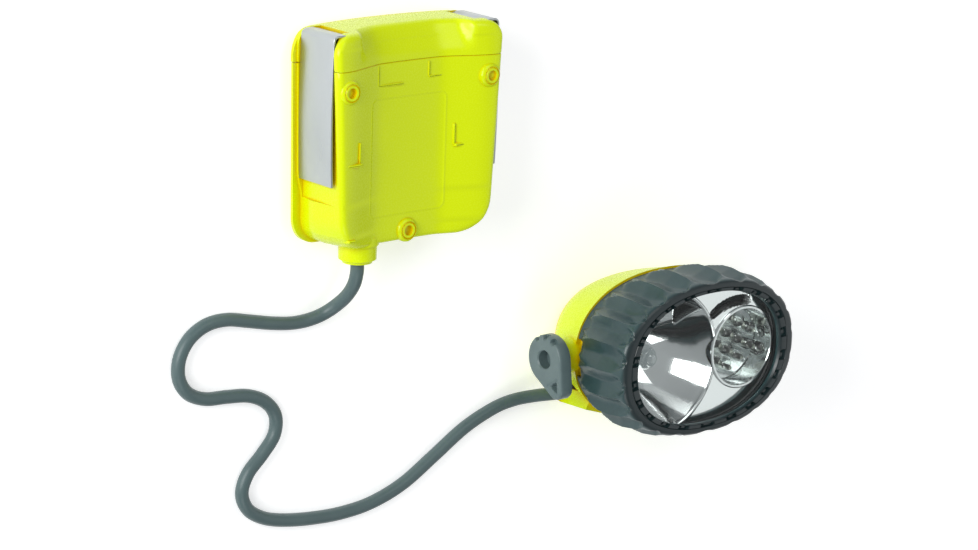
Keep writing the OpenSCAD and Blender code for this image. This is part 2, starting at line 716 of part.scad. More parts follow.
front_shell();
case_tub();
case_lid();
lid_seal();
contact_carrier();
lid_contacts();
end_contacts();
contact_springs();
cell_1();
cell_2();
cell_3();
cell_4();
clip_left();
clip_right();
clip_pin_left();
clip_pin_right();
case_grommet();
cord();
head_housing();
housing_seal();
bezel();
lens();
lens_seal();
reflector();
bulb_glass();
bulb_base();
bulb_holder();
led_cup();
led_board();
leds();
contact_strips();
selector_lever();
lever_seal();
lever_clip();
switch_rotor();
switch_base();
switch_contacts();
pivot_cap();
head_grommet();
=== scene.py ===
"""Looks of a miner's cap lamp: a corded battery case and an oval two-source head."""

import json
import math

import bpy
import numpy as np
from mathutils import Matrix, Vector


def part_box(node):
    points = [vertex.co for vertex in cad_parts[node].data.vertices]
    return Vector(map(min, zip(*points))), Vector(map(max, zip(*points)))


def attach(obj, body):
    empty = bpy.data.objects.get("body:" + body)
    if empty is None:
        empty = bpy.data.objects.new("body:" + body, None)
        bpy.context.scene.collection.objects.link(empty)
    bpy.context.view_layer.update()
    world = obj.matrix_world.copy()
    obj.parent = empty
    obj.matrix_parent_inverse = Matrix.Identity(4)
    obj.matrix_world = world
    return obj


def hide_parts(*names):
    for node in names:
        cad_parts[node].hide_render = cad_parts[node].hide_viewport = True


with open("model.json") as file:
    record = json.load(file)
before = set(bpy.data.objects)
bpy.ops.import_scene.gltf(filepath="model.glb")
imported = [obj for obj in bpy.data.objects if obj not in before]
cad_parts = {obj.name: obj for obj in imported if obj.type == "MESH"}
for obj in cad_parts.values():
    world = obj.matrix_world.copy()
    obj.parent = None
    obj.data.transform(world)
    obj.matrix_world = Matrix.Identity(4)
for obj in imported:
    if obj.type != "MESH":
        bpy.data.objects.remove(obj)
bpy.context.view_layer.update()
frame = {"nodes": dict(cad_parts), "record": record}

# ---------------------------------------------------------------- where things lie
# The battery case lies on its rounded front and the head on its flat back, on one surface. Their
# middles are read from the frame: x and y of each, with z measured up from the surface.
MM = 0.001
LUG_LOW = 32.1  # mm from the lower lug's hole up to the case's middle
shell_lo, shell_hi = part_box("front_shell")
bezel_lo, bezel_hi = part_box("bezel")
lug_mount = next(m for m in frame["record"]["mounts"] if m["name"] == "lug_lower")
case_at = np.array([(shell_lo[0] + shell_hi[0]) / 2, lug_mount["pos_m"][1] + LUG_LOW * MM, 0.0])
head_at = np.array([(bezel_lo[0] + bezel_hi[0]) / 2, (bezel_lo[1] + bezel_hi[1]) / 2, 0.0])

# ---------------------------------------------------------------- camera
# A long lens looks down on both housings from the left, rolled so that the lid is at the top.
AZIMUTH, ELEVATION, ROLL = math.radians(-112.4), math.radians(48.0), math.radians(108.9)
TARGET = Vector((-0.0097, -0.0194, 0.0))
DISTANCE = 1.1016
back = Vector((math.sin(AZIMUTH) * math.cos(ELEVATION), -math.cos(AZIMUTH) * math.cos(ELEVATION),
               math.sin(ELEVATION)))
level = Vector((math.cos(AZIMUTH), math.sin(AZIMUTH), 0.0))
rise = back.cross(level)
right = math.cos(ROLL) * level + math.sin(ROLL) * rise
up = back.cross(right)
eye = bpy.data.cameras.new("camera")
eye.lens = 119.45
eye.sensor_width = 36.0
camera = bpy.data.objects.new("camera", eye)
camera.matrix_world = Matrix.Translation(TARGET + back * DISTANCE) @ Matrix(
    (right, up, back)).transposed().to_4x4()
bpy.context.collection.objects.link(camera)
bpy.context.scene.camera = camera


# ---------------------------------------------------------------- cord
# A round two-core cord in a soft grey-green jacket, 4.5 mm thick. It leaves the case's gland
# straight, drops to the surface, lies there in loose bends and goes into the head's housing.
class Wire:
    """A value in a material: its operators add the Math nodes that work them out."""

    def __init__(self, finish, socket):
        self.finish, self.socket = finish, socket

    def math(self, operation, *others):
        values = [v.socket if isinstance(v, Wire) else v for v in (self, *others)]
        return self.finish.node("ShaderNodeMath", {"operation": operation}, dict(enumerate(values)))

    def __add__(self, other):
        return self.math("ADD", other)

    def __sub__(self, other):
        return self.math("SUBTRACT", other)

    def __mul__(self, other):
        return self.math("MULTIPLY", other)

    def __pow__(self, power):
        return self.math("POWER", power)

    def __rsub__(self, other):
        return (self * -1.0).math("ADD", other)

    __radd__ = __add__
    __rmul__ = __mul__

    def above(self, edge, soft):
        """0 below the edge, 1 above it, with a ramp as wide as soft."""
        return ((self - edge) * (1.0 / soft) + 0.5).math("MAXIMUM", 0.0).math("MINIMUM", 1.0)


class Finish:
    """One surface finish: a Principled material whose fixed values are set on its sockets."""

    def __init__(self, name, **fixed):
        self.material = bpy.data.materials.new(name)
        self.material.use_nodes = True
        self.tree = self.material.node_tree
        self.shader = self.tree.nodes["Principled BSDF"]
        for key, value in fixed.items():
            self.shader.inputs[key.replace("_", " ").title().replace("Ior", "IOR")].default_value = value
        self.place = self.node("ShaderNodeTexCoord", {}, {}, "Object")

    def node(self, kind, settings, values, output=0):
        """Adds a node, sets its settings first and then its sockets, and gives one output."""
        made = self.tree.nodes.new(kind)
        for key, value in settings.items():
            setattr(made, key, value)
        for key, value in values.items():
            if isinstance(value, Wire):
                value = value.socket
            if isinstance(value, bpy.types.NodeSocket):
                self.tree.links.new(value, made.inputs[key])
            else:
                made.inputs[key].default_value = value
        return Wire(self, made.outputs[output])

    def noise(self, size, detail=3.0, stretch=(1, 1, 1), offset=(0, 0, 0), rough=0.5):
        """Noise whose blots are about one size across, in metres; stretch lengthens them."""
        scale = tuple(1.0 / (size * s) for s in stretch)
        at = self.node("ShaderNodeMapping", {}, {"Vector": self.place, "Scale": scale, "Location": offset})
        return self.node("ShaderNodeTexNoise", {},
                         {"Vector": at, "Scale": 1.0, "Detail": detail, "Roughness": rough})

    def mix(self, factor, a, b):
        """Colour a where factor is 0, colour b where it is 1."""
        return self.node("ShaderNodeMix", {"data_type": "RGBA"}, {"Factor": factor, 6: a, 7: b}, 2)

    def axis(self, index):
        """One coordinate of the place on the object, in metres."""
        return self.node("ShaderNodeSeparateXYZ", {}, {0: self.place}, index)

    def feed(self, name, value):
        self.tree.links.new(value.socket, self.shader.inputs[name])

    def relief(self, height, depth, strength=1.0):
        """Bump of that depth, in metres."""
        self.feed("Normal", self.node("ShaderNodeBump", {},
                                      {"Height": height, "Strength": strength, "Distance": depth}))

    def dress(self, thing):
        thing.data.materials.clear()
        thing.data.materials.append(self.material)


CORD_D = 4.5 * MM
route = np.array([
    [-15, -42, 15], [-15, -45.5, 14.95], [-15, -49.9, 13.5], [-15.3, -54.4, 10.2], [-16.6, -58.3, 6.4],
    [-19.8, -61.4, 3.6], [-24.9, -62.9, 2.5], [-31.6, -63, 2.4], [-39.6, -61.8, 2.4], [-48.4, -59.8, 2.4],
    [-57.1, -58, 2.4], [-64.9, -58.6, 2.4], [-71.2, -62.1, 2.4], [-74.9, -67.9, 2.4],
    [-75.2, -74.5, 2.4], [-71.7, -80, 2.4], [-65.1, -83, 2.4], [-56.7, -83.7, 2.4],
    [-48.2, -84.8, 2.4], [-41.4, -88, 2.4], [-37.4, -93.3, 2.4], [-37.8, -99.7, 2.4],
    [-42.4, -105.5, 2.4], [-48, -111.1, 2.4], [-50.3, -117.4, 2.4], [-47.9, -123.3, 2.4],
    [-41.8, -127.4, 2.4], [-33.6, -129.8, 2.4], [-22, -131.4, 2.4], [-9.5, -131.9, 2.4],
    [3, -130.6, 2.4], [16, -126.4, 2.4], [29.1, -118.9, 2.4], [42, -111.3, 2.4],
    [54.4, -106.6, 2.4], [63.2, -104.8, 3], [71, -104.1, 5], [78, -104, 7], [83.5, -104, 7.5],
    [90, -104, 7.5]]) * MM + case_at


def smooth_path(points, steps):
    """Catmull-Rom curve through the points: a cubic on each span, with the neighbours' slopes."""
    p = np.vstack([points[:1], points, points[-1:]])
    t = np.linspace(0, 1, steps, endpoint=False)[None, :, None]
    a, b, c, d = (p[i:len(p) - 3 + i, None, :] for i in range(4))
    span = 0.5 * (2 * b + (c - a) * t + (2 * a - 5 * b + 4 * c - d) * t**2 + (3 * b - a - 3 * c + d) * t**3)
    return np.vstack([span.reshape(-1, 3), points[-1:]])


cord_line = smooth_path(route, 8)
curve = bpy.data.curves.new("cord_jacket", "CURVE")
curve.dimensions = "3D"
curve.bevel_depth = CORD_D / 2
curve.bevel_resolution = 6
curve.use_fill_caps = True
spline = curve.splines.new("POLY")
spline.points.add(len(cord_line) - 1)
spline.points.foreach_set("co", np.c_[cord_line, np.ones(len(cord_line))].astype(np.float32).ravel())
spline.use_smooth = True
cord_piece = bpy.data.objects.new("cord_jacket", curve)
bpy.context.collection.objects.link(cord_piece)

jacket = Finish("cord_jacket", roughness=0.42, specular_ior_level=0.5)
jacket_tone = jacket.noise(9 * MM, 4)
jacket_fine = jacket.noise(0.35 * MM, 2)
jacket.feed("Base Color", jacket.mix(jacket_tone, (0.060, 0.098, 0.100, 1), (0.085, 0.130, 0.132, 1)))
jacket.feed("Roughness", jacket_tone * 0.16 + 0.34)
jacket.relief(jacket_fine, 0.05 * MM, 0.5)
jacket.dress(cord_piece)
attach(cord_piece, "base")
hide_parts("cord")

# ---------------------------------------------------------------- floor and lights
# A plain pale floor under both housings, three soft lamps, a pale card that the mirror plate
# reflects, and a pale surround.
floor_mesh = bpy.data.meshes.new("floor")
floor_mesh.from_pydata([(-4, -4, 0), (4, -4, 0), (4, 4, 0), (-4, 4, 0)], [], [(0, 1, 2, 3)])
floor = bpy.data.objects.new("floor", floor_mesh)
bpy.context.collection.objects.link(floor)
paper = Finish("floor_paper", roughness=0.9, specular_ior_level=0.1, emission_strength=0.4)
paper.feed("Base Color", paper.mix(paper.noise(0.5), (0.86, 0.86, 0.86, 1), (0.9, 0.9, 0.9, 1)))
paper.dress(floor)

surround = bpy.data.worlds.new("studio")
surround.use_nodes = True
surround.node_tree.nodes["Background"].inputs["Color"].default_value = (0.95, 0.97, 1.0, 1)
surround.node_tree.nodes["Background"].inputs["Strength"].default_value = 0.36
bpy.context.scene.world = surround


def soft_lamp(name, place, aim, size, watts):
    """A square area lamp at place, turned so that it faces aim."""
    lamp = bpy.data.lights.new(name, "AREA")
    lamp.size, lamp.energy = size, watts
    thing = bpy.data.objects.new(name, lamp)
    gaze = Vector(aim) - Vector(place)
    thing.matrix_world = Matrix.Translation(place) @ gaze.to_track_quat("-Z", "Y").to_matrix().to_4x4()
    bpy.context.collection.objects.link(thing)


soft_lamp("key", (-0.80, 0.26, 0.34), (-0.02, 0, 0), 0.45, 5.6)
soft_lamp("front", (-0.42, -0.62, 0.62), (0.02, -0.03, 0), 0.4, 1.3)
soft_lamp("top", (0.1, 0.75, 0.95), (0.0, -0.02, 0), 0.6, 2.2)
soft_lamp("card", (0.66, -0.12, 0.5), (0.05, -0.04, 0), 0.9, 1.3)

bpy.context.scene.view_settings.view_transform = "Standard"

# ---------------------------------------------------------------- battery case, front shell
# The rounded front of the case, a shallow moulding in glossy lemon-yellow plastic. Its rim
# stands out past the tub, and it is welded to it.
FRONT_R, SHELL_X, SHELL_Y0, RIM_R = 125.0, 35.5, -36.0, 9
CASE_Y0, CASE_Y1 = -35.5, 34.8
BAY_X, BAY_Y0, PART_Y, RIM_Z, WALL = 29.9, -30.8, 23.5, 6.2, 2.0
CORNER, ACROSS = 7, 30


def front_z(x, inset=0.0):
    """Height of the rounded front, a cylinder along Y: R minus the root of (R - inset)^2 - x^2."""
    return FRONT_R - np.sqrt((FRONT_R - inset)**2 - x**2)


def ease(t):
    """0 to 1 with level ends: 3 t^2 - 2 t^3, held at 0 and 1 outside."""
    t = np.clip(t, 0, 1)
    return t * t * (3 - 2 * t)


def round_over(gap, r):
    """Drop of a rounded edge of radius r at a distance gap in from it: r - root(r^2 - (r - gap)^2)."""
    inside = np.clip(r - gap, 0, r)
    return r - np.sqrt(r * r - inside**2)


def plan_width(y, high, low, r_high, r_low, y0, y1):
    """Half width of the case's plan at y: straight sides between two corner arcs."""
    ya, yb = y0 + r_low, y1 - r_high
    w = low + (high - low) * (y - ya) / (yb - ya)
    w = np.where(y < ya, low - r_low + np.sqrt(np.clip(r_low**2 - (ya - y)**2, 0, None)), w)
    return np.where(y > yb, high - r_high + np.sqrt(np.clip(r_high**2 - (y - yb)**2, 0, None)), w)


def close_ends(near, far, count):
    """count heights between two ends, closer together at the first: 1 - cos of a quarter turn."""
    return near + (far - near) * (1 - np.cos(np.linspace(0, math.pi / 2, count)))


def grid_faces(m, n):
    """Quads of m rings of n points each, joined round."""
    i = np.arange(m - 1)[:, None] * n
    k = np.arange(n)[None, :]
    near, far = i + k, i + (k + 1) % n
    return np.stack([near, far, far + n, near + n], -1).reshape(-1, 4)


def capped(m, n):
    """Quads of m rings of n points each, with the first and the last ring closed."""
    return [grid_faces(m, n), np.arange(n)[None, ::-1], np.arange(n)[None] + (m - 1) * n]


def both_sides(half):
    """A path from the right side to the middle, (rings, points, 3), and its mirror image back."""
    other = half[:, -2::-1] * [-1, 1, 1]
    return np.concatenate([half, other], 1)


def piece(name, parts, at, body, stands_for, finish, crease=32):
    """One mesh object of several (points in mm, faces) parts, each turned to face outwards."""
    verts, faces, start = [], [], 0
    for points, polys in parts:
        points = np.asarray(points, float).reshape(-1, 3)
        volume = 0.0
        mid = points.mean(0)
        for group in polys:
            group = np.asarray(group)
            for k in range(1, group.shape[1] - 1):
                a, b, c = (points[group[:, j]] - mid for j in (0, k, k + 1))
                volume += np.einsum("ij,ij->", a, np.cross(b, c))
        for group in polys:
            group = np.asarray(group)
            faces += ((group if volume > 0 else group[:, ::-1]) + start).tolist()
        verts.append(points)
        start += len(points)
    mesh = bpy.data.meshes.new(name)
    mesh.from_pydata(np.vstack(verts) * MM + at, [], faces)
    mesh.polygons.foreach_set("use_smooth", np.ones(len(mesh.polygons), bool))
    mesh.set_sharp_from_angle(angle=math.radians(crease))
    mesh.update()
    thing = bpy.data.objects.new(name, mesh)
    bpy.context.collection.objects.link(thing)
    finish.dress(thing)
    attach(thing, body)
    if stands_for:
        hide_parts(*stands_for)


def walled(outer, inner):
    """Closed part from an outer and an inner path at each ring, with strips over both ends."""
    m, n = outer.shape[:2]
    rings = np.concatenate([outer, inner[:, ::-1]], 1)
    k = np.arange(n - 1)
    strip = np.stack([k, 2 * n - 1 - k, 2 * n - 2 - k, k + 1], 1)
    return rings, [grid_faces(m, 2 * n), strip, strip[:, ::-1] + (m - 1) * 2 * n]


yellow = Finish("yellow_plastic", roughness=0.3, specular_ior_level=0.3)
yellow_cloud = yellow.noise(30 * MM, 2)
yellow_peel = yellow.noise(5 * MM, 2)
yellow_speck = yellow.noise(0.5 * MM, 3, offset=(3, 1, 2))
YELLOW_A, YELLOW_B, AMBER_SHADE = (0.60, 0.74, 0.0, 1), (0.66, 0.80, 0.0, 1), (0.72, 0.50, 0.0, 1)


def corner_shade_tint(finish, cloud, reach=5):
    """Lemon yellow that turns amber in corners, where ambient occlusion finds them: painted shade."""
    shade_occlusion = finish.node("ShaderNodeAmbientOcclusion", {"samples": 12}, {"Distance": reach * MM}, 1)
    return finish.mix(shade_occlusion.above(0.62, 0.5), AMBER_SHADE, finish.mix(cloud, YELLOW_A, YELLOW_B))


# Base colour: lemon yellow with amber painted shade in its corners.
yellow.feed("Base Color", corner_shade_tint(yellow, yellow_cloud))
yellow.feed("Roughness", yellow_speck * 0.14 + 0.2)
yellow.relief(yellow_peel, 0.02 * MM, 0.4)

shell_y = np.concatenate([close_ends(SHELL_Y0, SHELL_Y0 + 9, 12),
                          np.linspace(SHELL_Y0 + 10, PART_Y, 16)])
shell_w = plan_width(shell_y, SHELL_X, SHELL_X - 1, RIM_R, RIM_R, SHELL_Y0, CASE_Y1)
spread = np.concatenate([[1, 1, 0.995], np.linspace(0.985, 0, ACROSS)])
x = shell_w[:, None] * spread
low = front_z(x) + round_over(shell_y - SHELL_Y0, 1.8)[:, None]
low = np.minimum(low, RIM_Z - 0.6)
z = np.concatenate([np.full((len(shell_y), 1), RIM_Z), low[:, 1:]], 1)
z[:, 1] = low[:, 1] + 0.25
shell_out = np.stack([x, np.broadcast_to(shell_y[:, None], x.shape), z], -1)
bay_reach = np.minimum(BAY_X, shell_w - 1.5)[:, None]
x = bay_reach * np.concatenate([[1, 1, 1], np.linspace(1, 0, ACROSS)])
deep = np.where(shell_y < BAY_Y0, 0.0, 1.0)[:, None]
z = RIM_Z + deep * (front_z(x, WALL) - RIM_Z)
z[:, 0] = RIM_Z
shell_in = np.stack([x, np.broadcast_to(shell_y[:, None], x.shape), z], -1)
piece("front_shell_skin", [walled(both_sides(shell_out), both_sides(shell_in))], case_at, "base",
      ["front_shell"], yellow)

# ---------------------------------------------------------------- battery case, tub
# The deep half of the case, moulded in the same plastic: a hollow back that follows the helmet,
# two horns beside it, a channel in each side for a strap clip, three screw lugs and the gland.
BACK_Z, HORN_Z, BAY_TOP, FLOOR_X = 21.0, 27.5, 19.2, 13
CHANNEL_X, CHANNEL_Z0, CHANNEL_Z1, CHANNEL_Y0 = 31.2, 7.0, 25.0, -20.0
EDGE_R = 2.0


def hollow_z(x):
    """Height of the hollow back: a nearly flat floor, 0.8 (x / 28)^2, then slopes of 0.4 beyond 13 mm."""
    past = np.abs(x) - FLOOR_X
    return BACK_Z - 0.05 + 0.8 * (x / 28)**2 + 0.4 * (past + np.sqrt(past**2 + 4)) / 2


def soft_low(a, b, soft):
    """The lower of two heights, with a fillet: their mean less half the root of d^2 + soft^2."""
    return (a + b) / 2 - np.sqrt((a - b)**2 + soft**2) / 2 + soft * 0.12


def side_width(y, z):
    """Half width of the case at y and z: the plan, drawn in by the mould's draft as z rises."""
    rise = (z - RIM_Z) / (24.5 - RIM_Z)
    return plan_width(y, 34 - 0.5 * rise, 33.0 - 2.0 * rise, 5.5 + 0.5 * rise, 8 + 4 * rise,
                      CASE_Y0, CASE_Y1)


def case_half(y, notch, top_of):
    """Right half of a case section at each y, from the side's foot to the middle of the back. The
    side is drawn in to the notch, a half width at each y, over the height of the clip's channel."""
    y = y[:, None]
    edge_x = side_width(y, HORN_Z - EDGE_R)
    crest = top_of(np.maximum(edge_x - EDGE_R, 0), y)
    shoulder = crest - EDGE_R
    fixed = np.array([RIM_Z, CHANNEL_Z0, CHANNEL_Z0, 7.6, 10, 12.5, 15, 17.5, 20, 22.5, 24.4,
                      CHANNEL_Z1, CHANNEL_Z1])
    z = np.minimum(np.concatenate([np.broadcast_to(fixed, (len(y), len(fixed))), shoulder], 1), shoulder)
    x = side_width(y, z) - 1.5 * ease((11.5 - z) / 2.5) * ease((-12 - y) / 8)
    inside = np.array([0, 0, 1, 1, 1, 1, 1, 1, 1, 1, 1, 1, 0, 0])
    x = np.where((inside > 0) & (x > notch[:, None]), notch[:, None], x)
    turn = np.linspace(0, math.pi / 2, CORNER + 1)[1:]
    last = side_width(y, shoulder)
    arc_x = last - EDGE_R + EDGE_R * np.cos(turn)
    arc_z = shoulder + EDGE_R * np.sin(turn)
    flat_x = (last - EDGE_R) * np.linspace(1, 0, ACROSS + 1)[1:]
    flat_z = top_of(flat_x, y)
    x = np.concatenate([x, arc_x, flat_x], 1)
    z = np.concatenate([z, arc_z, flat_z], 1)
    return np.stack([x, np.broadcast_to(y, x.shape), z], -1)


def tub_top(x, y):
    """Top of the tub: the lower of the hollow and the horns, rounded down towards its end."""
    horn = HORN_Z - 3.4 * ease((CASE_Y0 + 5 - y) / 5)
    return soft_low(hollow_z(x), horn + 0 * x, 1.6) - round_over(y - CASE_Y0, 1.5)


tub_y = np.concatenate([close_ends(CASE_Y0, CASE_Y0 + 4.7, 8), [BAY_Y0], np.linspace(-29, CHANNEL_Y0, 6),
                        [CHANNEL_Y0], np.linspace(CHANNEL_Y0 + 1.5, PART_Y - 0.3, 20), [PART_Y]])
tub_notch = np.full(len(tub_y), 99.0)
tub_notch[np.argmax(tub_y >= CHANNEL_Y0) + 1:] = CHANNEL_X
tub_out = case_half(tub_y, tub_notch, tub_top)
tub_out[-1, 1:, 2] -= 0.25
tub_out[-1, :14, 0] -= 0.2
count = tub_out.shape[1]
hollowed = (tub_y >= BAY_Y0).astype(float)
hollowed[np.argmax(tub_y >= BAY_Y0)] = 0
reach = np.minimum(BAY_X, side_width(tub_y, RIM_Z) - 1.5)[:, None]
walls = count - ACROSS
x = reach * np.concatenate([np.ones(walls), np.linspace(1, 0, ACROSS + 1)[1:]])
up_z = np.concatenate([np.linspace(RIM_Z, BAY_TOP, walls), np.full(ACROSS, BAY_TOP)])
z = RIM_Z + hollowed[:, None] * (up_z - RIM_Z)
tub_in = np.stack([x, np.broadcast_to(tub_y[:, None], x.shape), z], -1)


def turned(profile, centre, axis, count=48):
    """A profile of (radius, height) points turned round an axis through centre: r cos t, r sin t."""
    t = np.linspace(0, 2 * math.pi, count, endpoint=False)
    profile = np.asarray(profile, float)
    r, h = profile[:, 0, None], profile[:, 1, None]
    round_a, round_b, along = r * np.cos(t), r * np.sin(t), h + 0 * t
    order = {"x": (along, round_a, round_b), "y": (round_b, along, round_a), "z": (round_a, round_b, along)}
    points = np.stack(order[axis], -1) + np.asarray(centre, float)
    return points, capped(len(profile), count)


def fillet(r0, h0, r1, h1, steps=5, hollow=False):
    """Quarter round between two profile points, bulging outwards, or inwards when hollow."""
    t = np.linspace(0, math.pi / 2, steps)
    s, c = (1 - np.cos(t), np.sin(t)) if hollow else (np.sin(t), 1 - np.cos(t))
    return [(r0 + (r1 - r0) * a, h0 + (h1 - h0) * b) for a, b in zip(c, s)]


def lug(x, y, top, foot):
    """A screw lug: a short post with a rounded rim, a drafted side and a hole."""
    hole = [(0, top - 7), (1.5, top - 7), (1.6, top - 0.4)] + fillet(1.65, top - 0.2, 1.9, top, 3)
    side = fillet(2.4, top, 2.9, top - 0.5, 4) + [(2.95, foot + 1.5)]
    profile = hole + side + fillet(2.95, foot + 1.2, 4.0, foot, 4, True) + [(4.0, foot - 3), (0, foot - 3)]
    return turned(profile, (x, y, 0), "z", 32)


def bar(x, y, z, size):
    """A small moulded rib: a rounded rectangle whose top edge is drawn in."""
    lx, ly, lz = size
    r = min(lx, ly) * 0.3
    t = np.linspace(0, 2 * math.pi, 24, endpoint=False) + 0.13
    ring = np.stack([np.sign(np.cos(t)) * (lx / 2 - r) + r * np.cos(t),
                     np.sign(np.sin(t)) * (ly / 2 - r) + r * np.sin(t)], 1)
    levels = [(-lz / 2, 0.25), (lz / 2 - 0.3, 0), (lz / 2 - 0.08, -0.1), (lz / 2, -0.28)]
    rings = np.stack([np.c_[ring + np.sign(ring) * grow, np.full(len(t), h)] for h, grow in levels])
    return rings + [x, y, z], capped(len(levels), len(t))


GLAND = (-15.0, 15.0)
gland_profile = [(2.5, -32), (2.5, -41.2), (2.8, -41.9)] + fillet(4.9, -42, 6.2, -40.8, 6) + [
    (6.25, -38.0), (6.3, -36.3)] + fillet(6.3, -36.4, 7.0, -35.3, 4, True) + [(7.0, -33.0), (2.5, -32)]
ribs = [bar(-13, PART_Y - 3.8, BACK_Z - 0.2, (0.9, 6.4, 2.0)),
        bar(-10, PART_Y - 7.2, BACK_Z - 0.4, (14, 0.9, 2.0)),
        bar(7.5, PART_Y - 3.4, BACK_Z - 0.3, (0.9, 5, 1.6)),
        bar(10.2, PART_Y - 6, BACK_Z - 0.2, (5.4, 0.9, 1.4)),
        bar(-23, -3.5, BACK_Z + 3.7, (0.9, 7, 3)), bar(-25.6, -7.0, BACK_Z + 4.7, (5.8, 0.9, 3)),
        bar(17, -2, BACK_Z + 1.9, (0.9, 7, 1.4)), bar(19.3, -5.6, BACK_Z + 2.6, (4.6, 0.9, 1.4)),
        bar(-26, -31.5, BACK_Z + 4.6, (3, 0.9, 3))]
LUG_X, LUG_Y = 28.2, 16.8
lugs = [lug(-LUG_X, LUG_Y, 28.3, 26.6), lug(LUG_X, LUG_Y, 28.3, 26.6), lug(0, -LUG_LOW, 22.6, BACK_Z)]
tub_yellow = Finish("tub_plastic", roughness=0.3, specular_ior_level=0.3)
tub_cloud = tub_yellow.noise(30 * MM, 2)
tub_speck = tub_yellow.noise(0.5 * MM, 3)
# Base colour: the same yellow with amber painted shade in corners, looked for up to 9 mm out.
tub_yellow.feed("Base Color", corner_shade_tint(tub_yellow, tub_cloud, 9))
tub_yellow.feed("Roughness", tub_speck * 0.14 + 0.2)
panel_x = ((tub_yellow.axis(0) - float(case_at[0]) + 1 * MM).math("ABSOLUTE") - 13 * MM).math("MAXIMUM", 0.0)
panel_y = ((tub_yellow.axis(1) - float(case_at[1]) + 7 * MM).math("ABSOLUTE") - 17 * MM).math("MAXIMUM", 0.0)
panel_far = (panel_x * panel_x + panel_y * panel_y) ** 0.5
panel_line = 1.0 - ((panel_far - 2.2 * MM).math("ABSOLUTE") * (1 / (0.55 * MM))).math("MINIMUM", 1.0)
inside_hollow = (tub_yellow.axis(2) * -1.0).above(-23.0 * MM, 0.5 * MM)
tub_yellow.relief(panel_line * inside_hollow * 0.16 + tub_yellow.noise(1.6 * MM, 2) * 0.006, 1 * MM, 0.8)
piece("case_tub_skin", [walled(both_sides(tub_out), both_sides(tub_in)),
                        turned(gland_profile, (GLAND[0], 0, GLAND[1]), "y")] + lugs + ribs,
      case_at, "base", ["case_tub"], tub_yellow)

# ---------------------------------------------------------------- battery case, lid
# The end cap of the case, moulded in the same plastic. It slides off the cells when both clips
# are open; a scoop between its horns gives a thumb hold.
SLOT_X, SLOT_Y = 25.2, 30.2


def lid_top_z(x, y):
    """Top of the lid: the hollow deepened by a scoop towards the end, between two rounded horns."""
    scoop = 4.2 * ease((y - 24.3) / 10) * ease((23.0 - np.abs(x)) / 3.2)
    horn = HORN_Z - 0.8 * ease((y - (CASE_Y1 - 6)) / 6)
    return soft_low(hollow_z(x) - scoop, horn + 0 * x, 1.6) - round_over(CASE_Y1 - y, 2.4)


lid_y = np.concatenate([[PART_Y + 0.15, PART_Y + 0.45], np.linspace(PART_Y + 1.4, SLOT_Y, 7), [SLOT_Y],
                        close_ends(CASE_Y1, SLOT_Y + 0.6, 12)[::-1]])
lid_notch = np.full(len(lid_y), CHANNEL_X)
lid_notch[np.argmax(lid_y >= SLOT_Y) + 1:] = SLOT_X
upper = case_half(lid_y, lid_notch, lid_top_z)
rim_w = plan_width(lid_y, SHELL_X, SHELL_X - 1, RIM_R, RIM_R, SHELL_Y0, CASE_Y1)[:, None]
foot_x = rim_w * np.concatenate([np.linspace(0, 0.985, ACROSS), [0.995, 1, 1]])
foot_z = np.minimum(front_z(foot_x) + round_over(CASE_Y1 - lid_y, 2.4)[:, None], RIM_Z - 0.5)
foot_z[:, -1] = RIM_Z
foot = np.stack([foot_x, np.broadcast_to(lid_y[:, None], foot_x.shape), foot_z], -1)
half = np.concatenate([foot, upper], 1)
half[0, :, 0] -= 0.2 * np.sign(half[0, :, 0])
full = np.concatenate([half, half[:, -2:0:-1] * [-1, 1, 1]], 1)
side_count = 3 + upper.shape[1] - ACROSS
bay_half_x = np.concatenate([np.linspace(0, BAY_X, ACROSS), np.full(side_count, BAY_X),
                             BAY_X * np.linspace(1, 0, ACROSS + 1)[1:]])
bay_half_z = np.concatenate([front_z(np.linspace(0, BAY_X, ACROSS), WALL),
                             np.linspace(front_z(BAY_X, WALL), BAY_TOP, side_count),
                             np.full(ACROSS, BAY_TOP)])
bay_ring = np.stack([bay_half_x, 0 * bay_half_x, bay_half_z], -1)
bay_ring = np.concatenate([bay_ring, bay_ring[-2:0:-1] * [-1, 1, 1]], 0)
bay_rings = np.stack([bay_ring + [0, y, 0] for y in (28.0, PART_Y + 0.15)])
rings = np.concatenate([bay_rings, full], 0)
piece("case_lid_skin", [(rings, capped(len(rings), full.shape[1]))], case_at, "lid", ["case_lid"],
      yellow)

# ---------------------------------------------------------------- strap clips
# Two spring clips cut from satin stainless strip, 0.8 mm thick. Each is rolled round a pin in
# the lid's corner, bent down over the corner and bowed slightly along the case's side.
CLIP_T, CLIP_Z, CLIP_W = 0.8, (7.3, 24.7), 17.4
PIN_X, PIN_Y, BARREL_R = 27.6, 32.5, 1.86


def along_path(line, side_way, wide, thick, corner=0.25):
    """A flat strip carried along a line: at each point a rounded rectangle, wide and thick."""
    step = np.gradient(line, axis=0)
    step /= np.linalg.norm(step, axis=1)[:, None]
    lift = np.cross(step, side_way)
    t = np.linspace(0, 2 * math.pi, 16, endpoint=False) + 0.2
    u = np.sign(np.cos(t)) * (wide / 2 - corner) + corner * np.cos(t)
    v = np.sign(np.sin(t)) * (thick / 2 - corner) + corner * np.sin(t)
    rings = line[:, None] + u[:, None] * np.asarray(side_way, float) + lift[:, None] * v[None, :, None]
    return rings, capped(len(line), len(t))


